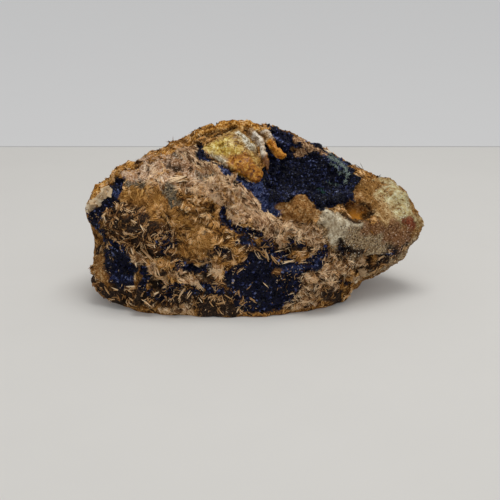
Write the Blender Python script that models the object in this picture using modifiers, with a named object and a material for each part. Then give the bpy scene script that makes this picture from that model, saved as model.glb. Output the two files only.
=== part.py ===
"""Azurite specimen: a loose block of iron-stained, bladed matrix, 108 mm long.

A hollow in its top is lined with a druse of small azurite crystals. A nodule of stained
quartz and two crescent plates of quartz stand beside the hollow, under the crest.
Places and sizes are in millimetres, in the specimen's own frame: X along its length,
-Y towards its show face, +Z up from the flat that it rests on.
"""

import math
import random

import bmesh
import bpy
from mathutils import Matrix, Vector, noise
from mathutils.bvhtree import BVHTree

MM = 0.001
SEED = 29

# The block is the hull of these corners.
FRONT_FOOT = [(-46, -16, 3), (-34, -22, 0), (-12, -25, 0), (2, -25, 0), (16, -21, 0), (27, -14, 1)]
BACK_FOOT = [(-38, 16, 0), (-15, 22, 0), (10, 22, 0), (25, 14, 0)]
LEFT_END = [(-53.6, -4, 28.5), (-50.8, -8, 4.5), (-52, 2, 33), (-48.5, 10, 8), (-48.5, 12, 26)]
CREST = [(-44.5, 5, 39.7), (-36.5, 6, 44.5), (-15.8, 8, 53.6), (-8, 9, 55.3), (0, 10, 54.8),
         (10, 12, 51.7), (20.6, 13, 46.4), (28, 14, 41.2), (33, 14, 37.4)]
RIGHT_END = [(46.4, 10, 34.4), (50.2, 6, 31.4), (52.7, 3, 28.6), (55.6, 0, 24.7),
             (54.5, -1, 20.6), (48.6, 0, 12), (44.2, 2, 7.8), (37.4, 2, 3.8)]
SHOW_FACE = [(-44, -10, 37), (-32, -14, 41), (-16.4, -14, 44), (-39.6, -19, 25),
             (-19.4, -23.5, 23.4), (3, -23.5, 26.5), (24, -18.5, 20), (38.5, -11, 21)]
RIM = [(-19.7, -6, 50), (-9.7, -11, 45.5), (1.8, -18, 35.5), (11.3, -19, 31.7),
       (23.1, -17, 31.7), (30, -16, 28.5), (36.5, -13, 27), (46.7, -6, 25.9)]
BACK = [(-40, 20, 30), (-26, 25, 38), (-8, 27, 43), (12, 28, 38), (29, 25, 29), (41, 19, 22),
        (48, 11, 14), (-43, 19, 6), (-25, 27, 8), (0, 30, 10), (20, 28, 8), (36, 18, 5)]

# Bands that stand up from the block: the points along each, and its radius at each end.
RIDGE = ([(-24, -8, 45), (-19.5, -7, 47.5), (-15, -10, 45), (-9.5, -12.5, 42), (-4, -15.5, 37.5),
          (-0.5, -17.5, 34.5), (2.5, -19.5, 31)], 2.6, 2.9)
CREST_CAP = ([(-20, 2, 50), (-17, 4.5, 51.5), (-13, 5, 52.4), (-8, 7, 53), (-2.5, 8, 52.8),
              (3, 9, 51.7), (9, 11, 50)], 2.0, 1.6)
RIM_LEDGE = ([(8, -18, 30.5), (15.5, -16.5, 31), (23, -15.5, 30.5), (30, -14.5, 27.5),
              (37, -11.5, 26), (46.5, -5, 25)], 2.3, 1.7)
BANDS = [RIDGE, CREST_CAP, RIM_LEDGE]

# Lumps of blades on the show face and knobs on the rim: centre, then radius.
LUMPS = [
    ((-40, -13.5, 27.5), 5.5), ((-31.5, -17, 27), 6), ((-36.5, -17, 18), 5), ((-29.5, -18, 17.5), 6),
    ((-22, -17, 30.5), 6), ((-15, -19.5, 24), 6), ((-23.5, -19.5, 16), 6), ((-11.5, -21, 18), 5),
    ((-19, -21, 8), 5), ((-32, -19, 7), 5), ((-6, -22, 9.5), 4.5), ((14, -18.5, 9), 5.5),
    ((21.5, -16, 13.5), 5.5), ((27.5, -13.5, 14), 4.5), ((20, -16, 5), 5), ((9, -19, 26), 4),
    ((17.5, -17.5, 24.5), 4), ((27, -15, 25.5), 4.6), ((15, -16.5, 31), 4.6), ((-4.5, -18, 30.5), 5),
    ((2, -19.5, 27.5), 4.5), ((-43.5, -8, 33.5), 5), ((-30, -6, 41), 6), ((-39.5, -6, 36.5), 6),
    ((-45.5, -5, 7.5), 5.5), ((-49, -4.5, 27.5), 5), ((47, -1, 23.5), 5.6), ((45, 4, 28.5), 6),
    ((-30, 17, 34), 9), ((6, 19, 36), 10), ((-12, 22, 14), 9), ((27, 18, 14), 9), ((-40.5, 9, 18), 9),
]

# Hollows: centre, radii across, along and into the face, and the way that the face looks.
DRUSE_FACING = (0.34, -0.42, 0.84)
HOLLOW = [
    ((16.6, -3.5, 41.2), (13.5, 13.5, 9), DRUSE_FACING),
    ((25, -0.5, 38.8), (7.5, 9, 7), DRUSE_FACING),
    ((9.0, -12.5, 38.7), (6.5, 6.5, 5.5), DRUSE_FACING),
]
LEFT_POCKET = [((-41.5, -19.8, 14.3), (6.3, 5.6, 4.2), (-0.45, -0.9, 0.0))]
LOWER_SEAM = [((2, -27, 11), (12, 7.5, 4), (0.05, -1, 0.05))]
OTHER_PITS = [
    ((33, -10.5, 31.2), (5.6, 4.4, 5), (0.4, -0.44, 0.8)),
    ((-55.5, -10, 18.5), (9, 6, 7.4), (-0.85, -0.5, 0.1)),
    ((-33, -24, 12.5), (5, 2.2, 3), (-0.2, -0.97, 0.1)),
    ((37, -10, 12.5), (7, 3, 3), (0.5, -0.8, -0.3)),
]
# Grooves: the points along each, and its radius.
RIDGE_GROOVE = ([(-16.5, -4.6, 50), (-12.5, -8.3, 47.6), (-8.2, -10.6, 45.4), (-3.4, -13.2, 41.8),
                 (0.6, -15.6, 38.2), (3.8, -17.8, 34.6)], 2.1)
CAP_RECESS = ([(-16.5, -3.5, 51.2), (-12, -0.8, 52), (-6.5, 2.4, 53.2), (-1, 3.6, 53)], 1.5)
FACE_GROOVE = ([(-9.6, -20, 33.8), (-7.2, -22, 30.2), (-4, -23.6, 27.4), (0.5, -24.6, 25.6),
                (5.1, -24, 24.8)], 2.2)
UPPER_SLOT = ([(6.5, -23.4, 23.9), (11.3, -22.4, 22.6), (16.2, -21.2, 22.8)], 1.5)
LOWER_SLOT = ([(8.8, -23, 17.2), (15.8, -21.6, 18.2), (21.4, -19.6, 21)], 1.7)
BASE_SEAM = ([(-22, -24.6, 4.4), (-15, -25.3, 7.6), (-7, -25.6, 5.2)], 1.9)
GROOVES = [RIDGE_GROOVE, CAP_RECESS, FACE_GROOVE, UPPER_SLOT, LOWER_SLOT, BASE_SEAM]

# Quartz: the nodule is the hull of its edge and its crown, and each plate a bent leaf.
NODULE_EDGE = [(-14.4, -6.6, 48.2), (-9.6, -0.6, 50.6), (-4.6, 3.4, 51.8), (0, 0.2, 49.2),
               (0.8, -5.4, 45.6), (2.6, -9.8, 42.4), (2.2, -11.6, 41), (0.2, -12.4, 41),
               (-3.2, -11.4, 42.8), (-8.2, -9.8, 45.4)]
NODULE_CROWN = [(-9.2, -5.2, 50.6), (-4.2, -1.4, 52), (-5.4, -7.4, 48.8), (-1.4, -8, 47.2),
                (0.6, -10.6, 44.4), (-1.6, -2.2, 50.2)]
NODULE_ROOT_DEPTH = 3.0
INNER_PLATE = [(-0.4, 4.4, 51.6), (1.8, 3.4, 50.6), (3.6, 0.8, 48.4), (4.4, -2, 46.3), (5, -4.6, 44.2),
               (5.4, -6.8, 42.2)]
OUTER_PLATE = [(5, 6.8, 50.9), (6.6, 4.6, 49.3), (7.4, 1.6, 47.3), (8.6, -0.6, 45.4), (10.2, -2, 43.8)]
PLATE_HEIGHT = 5.2
PLATE_THICKNESS = 2.1
PLATE_TIP = 0.55

# Rosettes of fused blades: centre, radius over the blade tips, and how many blades.
ROSETTES = [
    ((-41, -17, 27), 8, 8), ((-31, -21, 17), 9.5, 10), ((-22, -22, 9), 8, 8), ((-9, -16, 39), 7, 7),
    ((4, -22.5, 28.5), 6, 6), ((14, -21.5, 22), 7, 7), ((21, -19, 12), 8, 9), ((18, -20, 30), 6, 6),
    ((-34, -22, 6), 7, 7), ((-46, -12, 10), 6.5, 6), ((-20, -19, 34), 8, 8), ((-3, -24, 17), 7, 7),
    ((8, -23, 7), 6, 6), ((-10, -24, 8), 6.5, 6),
]
BLADE_LENGTH = (5.5, 9)
BLADE_DEPTH = (2.2, 3.2)
BLADE_THICKNESS = (1.2, 1.8)

# Fineness of the block: the grid it is merged on, and the triangles it keeps.
MERGE_GRID = 0.9
HOST_TRIANGLES = 4000
# The side that shows keeps more of them: what is in front of one depth and, high up, another.
SHOWN_FRONT = -8
SHOWN_DEPTH = 13
SHOWN_TOP = 26
SHOWN_WEIGHT = 0.3
SHOWN_COST = 1e-5
NODULE_TRIANGLES = 360
PLATE_TRIANGLES = 190
# Roughness: size of the bumps, and how far they move the surface.
LEDGE_BUMPS = (8.5, 1.9)
GRAIN_BUMPS = (3.4, 0.8)
QUARTZ_BUMPS = (3.2, 0.6)
# The distance from a bump's middle, as a share of its size, at which the surface stays put.
BUMP_MIDDLE = 0.62
BASE_CUT = 0.9

CLEARANCE = 0.32
CRUST_THICKNESS = 1.1
CRYSTAL_HEIGHT = 0.55
CRUST_MARGIN = 1.12


def scaled(point):
    """A point or size given in millimetres, in metres."""
    return Vector(point) * MM


def collection_of(name, hidden=False):
    found = bpy.data.collections.new(name)
    bpy.context.scene.collection.children.link(found)
    found.hide_render = hidden
    return found


def object_of(name, bm, collection):
    """A new object that holds a bmesh, with its faces turned outwards."""
    bmesh.ops.recalc_face_normals(bm, faces=bm.faces)
    mesh = bpy.data.meshes.new(name)
    bm.to_mesh(mesh)
    bm.free()
    made = bpy.data.objects.new(name, mesh)
    collection.objects.link(made)
    return made


def applied(obj):
    """Applies an object's modifiers, and welds and triangulates the result."""
    graph = bpy.context.evaluated_depsgraph_get()
    mesh = bpy.data.meshes.new_from_object(obj.evaluated_get(graph))
    obj.modifiers.clear()
    obj.data = mesh
    bm = bmesh.new()
    bm.from_mesh(mesh)
    bmesh.ops.remove_doubles(bm, verts=bm.verts, dist=0.002 * MM)
    bmesh.ops.triangulate(bm, faces=bm.faces)
    bm.to_mesh(mesh)
    bm.free()
    return obj


def modified(obj, kind, **settings):
    """Adds one modifier with these settings and applies it."""
    modifier = obj.modifiers.new(kind.title(), kind)
    for setting, value in settings.items():
        setattr(modifier, setting, value)
    return applied(obj)


def boolean(obj, operation, other):
    """Joins or cuts an object with another, which stays as it is, and drops crumbs and bubbles."""
    modified(obj, "BOOLEAN", operation=operation, object=other, use_self=operation == "UNION")
    bm = bmesh.new()
    bm.from_mesh(obj.data)
    keep_largest_island(bm)
    bm.to_mesh(obj.data)
    bm.free()
    return obj


def keep_largest_island(bm):
    """Deletes every face that isn't joined by edges to the largest group of faces."""
    islands, left = [], set(bm.faces)
    while left:
        island, ahead = set(), [left.pop()]
        while ahead:
            face = ahead.pop()
            island.add(face)
            beside = {other for edge in face.edges for other in edge.link_faces} & left
            left -= beside
            ahead.extend(beside)
        islands.append(island)
    largest = max(islands, key=len)
    bmesh.ops.delete(bm, geom=[face for face in bm.faces if face not in largest], context="FACES")


def hull(name, corners, collection):
    bm = bmesh.new()
    for corner in corners:
        bm.verts.new(scaled(corner))
    made = bmesh.ops.convex_hull(bm, input=bm.verts)
    spare = set(made["geom_unused"]) | set(made["geom_interior"])
    bmesh.ops.delete(bm, geom=[v for v in spare if isinstance(v, bmesh.types.BMVert)], context="VERTS")
    return object_of(name, bm, collection)


def ellipsoid_frame(centre, radii, facing):
    """The matrix that takes a unit ball to this ellipsoid, with its third radius along facing."""
    turn = Vector(facing).to_track_quat("Z", "Y").to_matrix().to_4x4()
    return Matrix.Translation(scaled(centre)) @ turn @ Matrix.Diagonal(scaled(radii)).to_4x4()


def ellipsoid(name, centre, radii, facing, collection):
    bm = bmesh.new()
    bmesh.ops.create_icosphere(bm, subdivisions=3, radius=1, matrix=ellipsoid_frame(centre, radii, facing))
    return object_of(name, bm, collection)


def band(name, points, start_radius, end_radius, collection, profile=None):
    """A round band, or one with this profile, swept along a smooth curve through the points."""
    curve = bpy.data.curves.new(name, "CURVE")
    curve.dimensions = "3D"
    curve.resolution_u = 4
    curve.use_fill_caps = True
    if profile:
        curve.bevel_mode = "OBJECT"
        curve.bevel_object = profile
        curve.twist_mode = "Z_UP"
    else:
        curve.bevel_depth = MM
        curve.bevel_resolution = 2
    spline = curve.splines.new("BEZIER")
    spline.bezier_points.add(len(points) - 1)
    for step, (knot, point) in enumerate(zip(spline.bezier_points, points)):
        knot.co = scaled(point)
        knot.handle_left_type = knot.handle_right_type = "AUTO"
        knot.radius = start_radius + (end_radius - start_radius) * step / (len(points) - 1)
    guide = bpy.data.objects.new(name, curve)
    collection.objects.link(guide)
    graph = bpy.context.evaluated_depsgraph_get()
    bm = bmesh.new()
    bm.from_mesh(guide.evaluated_get(graph).to_mesh())
    bpy.data.objects.remove(guide)
    bmesh.ops.remove_doubles(bm, verts=bm.verts, dist=0.01 * MM)
    return object_of(name, bm, collection)


def merged(name, pieces, collection):
    """Joins overlapping pieces into one closed body on an even grid."""
    bm = bmesh.new()
    for piece in pieces:
        bm.from_mesh(piece.data)
    made = object_of(name, bm, collection)
    for piece in pieces:
        bpy.data.objects.remove(piece)
    return modified(made, "REMESH", mode="VOXEL", voxel_size=MERGE_GRID * MM)


def roughened(obj, bumps):
    """Raises angular bumps of this size and height, with creases between them."""
    size, height = bumps
    bm = bmesh.new()
    bm.from_mesh(obj.data)
    bm.normal_update()
    moves = []
    for vert in bm.verts:
        to_nearest = noise.voronoi(vert.co / (size * MM) + Vector((SEED, 0, 0)))[0][0]
        moves.append(vert.normal * (BUMP_MIDDLE - to_nearest) * height * MM)
    for vert, move in zip(bm.verts, moves):
        vert.co += move
    bm.to_mesh(obj.data)
    bm.free()
    return obj


def thinned(obj, triangles, **settings):
    return modified(obj, "DECIMATE", ratio=triangles / len(obj.data.polygons), **settings)


def grown(name, obj, amount, collection):
    """A copy of an object whose surface stands this far outside it."""
    bm = bmesh.new()
    bm.from_mesh(obj.data)
    bm.normal_update()
    moves = [vert.normal * vert.calc_shell_factor() * amount * MM for vert in bm.verts]
    for vert, move in zip(bm.verts, moves):
        vert.co += move
    return object_of(name, bm, collection)


def block(parts, cutters):
    """The host rock before its quartz seats, its fused blades and the flat under it."""
    corners = FRONT_FOOT + BACK_FOOT + LEFT_END + CREST + RIGHT_END + SHOW_FACE + RIM + BACK
    pieces = [hull("block", [(x, y, z - BASE_CUT) for x, y, z in corners], parts)]
    for points, start_radius, end_radius in BANDS:
        pieces.append(band("band", points, start_radius, end_radius, parts))
    for centre, radius in LUMPS:
        pieces.append(ellipsoid("lump", centre, (radius, radius, 0.85 * radius), (0, -1, 0.3), parts))
    host = merged("host_rock", pieces, parts)
    for centre, radii, facing in HOLLOW + LEFT_POCKET + LOWER_SEAM + OTHER_PITS:
        boolean(host, "DIFFERENCE", ellipsoid("pit", centre, radii, facing, cutters))
    for points, radius in GROOVES:
        boolean(host, "DIFFERENCE", band("groove", points, 0.7 * radius, radius, cutters))
    modified(host, "REMESH", mode="VOXEL", voxel_size=MERGE_GRID * MM)
    roughened(host, LEDGE_BUMPS)
    roughened(host, GRAIN_BUMPS)
    coarse = host.vertex_groups.new(name="coarse")
    for vert in host.data.vertices:
        shown = vert.co.y < (SHOWN_DEPTH if vert.co.z > SHOWN_TOP * MM else SHOWN_FRONT) * MM
        coarse.add([vert.index], SHOWN_WEIGHT if shown else 1.0, "REPLACE")
    return thinned(host, HOST_TRIANGLES, vertex_group="coarse", vertex_group_factor=SHOWN_COST)


def floor_cutter(cutters):
    """Everything under the flat that the specimen rests on."""
    bm = bmesh.new()
    bmesh.ops.create_cube(bm, size=1, matrix=Matrix.Diagonal(scaled((200, 200, 40))).to_4x4())
    bmesh.ops.translate(bm, verts=bm.verts, vec=scaled((0, 0, -20)))
    return object_of("floor_cutter", bm, cutters)


def nodule(parts):
    """The quartz nodule, with a root that reaches into its seat."""
    centre = sum((Vector(point) for point in NODULE_EDGE), Vector()) / len(NODULE_EDGE)
    sink = -Vector(DRUSE_FACING).normalized() * NODULE_ROOT_DEPTH
    root = [tuple(centre.lerp(Vector(point), 0.75) + sink) for point in NODULE_EDGE]
    made = hull("quartz_nodule", NODULE_EDGE + NODULE_CROWN + root, parts)
    modified(made, "REMESH", mode="VOXEL", voxel_size=0.6 * MM)
    roughened(made, QUARTZ_BUMPS)
    return thinned(made, NODULE_TRIANGLES)


def leaf_profile(cutters):
    """The section of a crescent plate: a tall ellipse."""
    curve = bpy.data.curves.new("leaf_profile", "CURVE")
    spline = curve.splines.new("POLY")
    sides = 10
    spline.points.add(sides - 1)
    for side, point in enumerate(spline.points):
        turn = 2 * math.pi * side / sides
        across = math.cos(turn) * PLATE_THICKNESS / 2 * MM
        point.co = (across, math.sin(turn) * PLATE_HEIGHT / 2 * MM, 0, 1)
    spline.use_cyclic_u = True
    made = bpy.data.objects.new("leaf_profile", curve)
    cutters.objects.link(made)
    return made


def plate(name, points, parts, profile):
    """A crescent plate: a bent leaf, thickest in its middle and thin at both ends."""
    made = band(name, points, 1, PLATE_TIP, parts, profile)
    modified(made, "REMESH", mode="VOXEL", voxel_size=0.5 * MM)
    roughened(made, QUARTZ_BUMPS)
    return thinned(made, PLATE_TRIANGLES)


def blade(bm, centre, length_way, face_way, size):
    """One lens-shaped blade that stands on its edge in the face."""
    length, depth, thickness = size
    side_way = length_way.cross(face_way).normalized()
    frame = Matrix((length_way * length / 2, face_way * depth, side_way)).transposed().to_4x4()
    bmesh.ops.create_cone(bm, segments=4, radius1=1, radius2=0.72, depth=thickness, cap_ends=True,
                          matrix=Matrix.Translation(centre) @ frame)


def blades(host, cutters, keep_clear):
    """All the fused blades, set round their rosettes' centres on the host's surface."""
    chance = random.Random(SEED)
    surface = surface_of(host)
    bm = bmesh.new()
    for centre, radius, count in ROSETTES:
        middle, face_way, _, _ = surface.find_nearest(scaled(centre))
        first = Vector((0, 0, 1)).cross(face_way).normalized()
        for index in range(count):
            turn = 2 * math.pi * (index + chance.uniform(-0.3, 0.3)) / count
            spoke = Matrix.Rotation(turn, 3, face_way) @ first
            size = [chance.uniform(*span) * MM for span in (BLADE_LENGTH, BLADE_DEPTH, BLADE_THICKNESS)]
            reach = radius * MM - size[0] / 2
            place, way, _, _ = surface.find_nearest(middle + spoke * reach)
            if keep_clear.find_nearest(place)[3] < size[0] / 2 + CLEARANCE * MM:
                continue
            length_way = (spoke - way * spoke.dot(way) + way * chance.uniform(-0.3, 0.3)).normalized()
            up_way = (way - length_way * way.dot(length_way)).normalized()
            blade(bm, place, length_way, up_way, size)
    return object_of("blades", bm, cutters)


def surface_of(*objects):
    """A search tree of these objects' faces."""
    bm = bmesh.new()
    for obj in objects:
        bm.from_mesh(obj.data)
    tree = BVHTree.FromBMesh(bm)
    bm.free()
    return tree


def in_pits(pits):
    """A test for points within these hollows, a little past their edges."""
    frames = [ellipsoid_frame(*pit).inverted() for pit in pits]
    return lambda point: any((frame @ point).length < CRUST_MARGIN for frame in frames)


def one_sheet(bm):
    """Keeps the largest sheet of faces, with no corner where two parts of it only touch."""
    while True:
        pinched = [v for v in bm.verts if sum(edge.is_boundary for edge in v.link_edges) > 2]
        if not pinched:
            break
        bmesh.ops.delete(bm, geom=pinched, context="VERTS")
    keep_largest_island(bm)


def crust(name, host, keep_clear, covers, parts):
    """A sheet of azurite crystals that follows the host's surface wherever covers is true."""
    bm = bmesh.new()
    bm.from_mesh(host.data)
    clear = (CRUST_THICKNESS + CRYSTAL_HEIGHT + CLEARANCE) * MM
    bare = [face for face in bm.faces
            if not covers(face.calc_center_median())
            or keep_clear.find_nearest(face.calc_center_median())[3] < clear + face.calc_perimeter() / 3]
    bmesh.ops.delete(bm, geom=bare, context="FACES")
    one_sheet(bm)
    bm.normal_update()
    surface = surface_of(host)
    settled(bm, surface)
    sheet = bpy.data.meshes.new(name)
    bm.to_mesh(sheet)
    bm.free()
    made = bpy.data.objects.new(name, sheet)
    parts.objects.link(made)
    modified(made, "SOLIDIFY", thickness=CRUST_THICKNESS * MM, offset=1)
    return crystallized(made, surface)


def crystallized(crust_object, surface):
    """Raises a flat-sided crystal on each outer face of a crust."""
    bm = bmesh.new()
    bm.from_mesh(crust_object.data)
    outside = (CLEARANCE + 0.75 * CRUST_THICKNESS) * MM
    outer = [face for face in bm.faces
             if surface.find_nearest(face.calc_center_median())[3] > outside]
    bmesh.ops.poke(bm, faces=outer, offset=CRYSTAL_HEIGHT * MM)
    bm.to_mesh(crust_object.data)
    bm.free()
    return crust_object


def settled(bm, surface):
    """Lifts each corner until the whole sheet clears the surface under it."""
    gap = CLEARANCE * MM
    for _ in range(6):
        for face in bm.faces:
            for point in [face.calc_center_median()] + [vert.co.copy() for vert in face.verts]:
                place, way, _, _ = surface.find_nearest(point)
                lack = gap - (point - place).dot(way)
                if lack > 0:
                    for vert in face.verts:
                        vert.co += way * lack / 3


def painted(obj, colour, roughness):
    """One Principled material of its own, and flat faces."""
    material = bpy.data.materials.new(obj.name)
    material.use_nodes = True
    shader = material.node_tree.nodes["Principled BSDF"]
    shader.inputs["Base Color"].default_value = (*colour, 1)
    shader.inputs["Roughness"].default_value = roughness
    shader.inputs["Metallic"].default_value = 0
    obj.data.materials.clear()
    obj.data.materials.append(material)


def centred(objects):
    """Moves the specimen so that the middle of its length and depth is over the origin."""
    places = [vert.co for obj in objects for vert in obj.data.vertices]
    middle = [(min(p[axis] for p in places) + max(p[axis] for p in places)) / 2 for axis in (0, 1)]
    for obj in objects:
        obj.data.transform(Matrix.Translation((-middle[0], -middle[1], 0)))


def main():
    for obj in list(bpy.data.objects):
        bpy.data.objects.remove(obj)
    parts = collection_of("azurite_specimen")
    cutters = collection_of("cutters", hidden=True)

    host = block(parts, cutters)
    profile = leaf_profile(cutters)
    quartz = [nodule(parts), plate("inner_crescent_plate", INNER_PLATE, parts, profile),
              plate("outer_crescent_plate", OUTER_PLATE, parts, profile)]
    for piece in quartz:
        boolean(host, "DIFFERENCE", grown("seat", piece, CLEARANCE, cutters))
    quartz_surface = surface_of(*quartz)

    crusts = [crust("azurite_druse", host, quartz_surface, in_pits(HOLLOW), parts),
              crust("azurite_left_pocket", host, quartz_surface, in_pits(LEFT_POCKET), parts),
              crust("azurite_lower_seam", host, quartz_surface, in_pits(LOWER_SEAM), parts)]
    boolean(host, "UNION", blades(host, cutters, surface_of(*quartz, *crusts)))
    boolean(host, "DIFFERENCE", floor_cutter(cutters))

    painted(host, (0.42, 0.26, 0.13), 0.85)
    painted(quartz[0], (0.62, 0.45, 0.2), 0.4)
    for piece in quartz[1:]:
        painted(piece, (0.68, 0.5, 0.33), 0.5)
    for piece in crusts:
        painted(piece, (0.015, 0.03, 0.16), 0.3)
    for cutter in cutters.objects:
        cutter.display_type = "WIRE"
        cutter.hide_render = True
    centred([host, *quartz, *crusts])


main()
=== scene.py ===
"""Azurite on a felted, bladed matrix: the loose hand specimen, dressed over its solids.

Everything is in metres in the frame of the solids. The sizes and places written
here are in millimetres and pass through MM."""

import math

import bmesh
import bpy
import numpy as np
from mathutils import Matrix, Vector
from mathutils.bvhtree import BVHTree


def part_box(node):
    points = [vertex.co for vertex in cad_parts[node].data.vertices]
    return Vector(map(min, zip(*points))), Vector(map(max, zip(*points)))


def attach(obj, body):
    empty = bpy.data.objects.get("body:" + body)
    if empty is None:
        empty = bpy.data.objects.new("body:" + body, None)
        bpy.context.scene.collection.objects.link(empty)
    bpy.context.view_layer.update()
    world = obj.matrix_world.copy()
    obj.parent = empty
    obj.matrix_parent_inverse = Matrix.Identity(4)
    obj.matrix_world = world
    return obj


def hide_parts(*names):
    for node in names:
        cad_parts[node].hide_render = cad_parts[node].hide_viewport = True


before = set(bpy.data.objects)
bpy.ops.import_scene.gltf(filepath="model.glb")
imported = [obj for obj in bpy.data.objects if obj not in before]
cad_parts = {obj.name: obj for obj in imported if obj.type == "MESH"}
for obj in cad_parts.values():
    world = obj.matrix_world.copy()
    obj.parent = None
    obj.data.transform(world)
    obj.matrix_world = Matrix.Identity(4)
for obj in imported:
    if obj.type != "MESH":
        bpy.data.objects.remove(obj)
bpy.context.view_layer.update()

MM = 0.001
SEED = 41
ROOT = "root"

# ------------------------------------------------------------ the front view
LOOK_AT = np.array((-1.9, -1.3, 13.8))
ELEVATION = math.radians(18)
REACH = 420.0
FOCAL = 1290.7
FRAME_SIDE = 500
STONE_MIDDLE = (250, 225)
AHEAD = np.array((0, math.cos(ELEVATION), -math.sin(ELEVATION)))
ACROSS = np.array((1.0, 0, 0))
UPWARD = np.array((0, math.sin(ELEVATION), math.cos(ELEVATION)))
EYE = LOOK_AT - REACH * AHEAD

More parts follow.
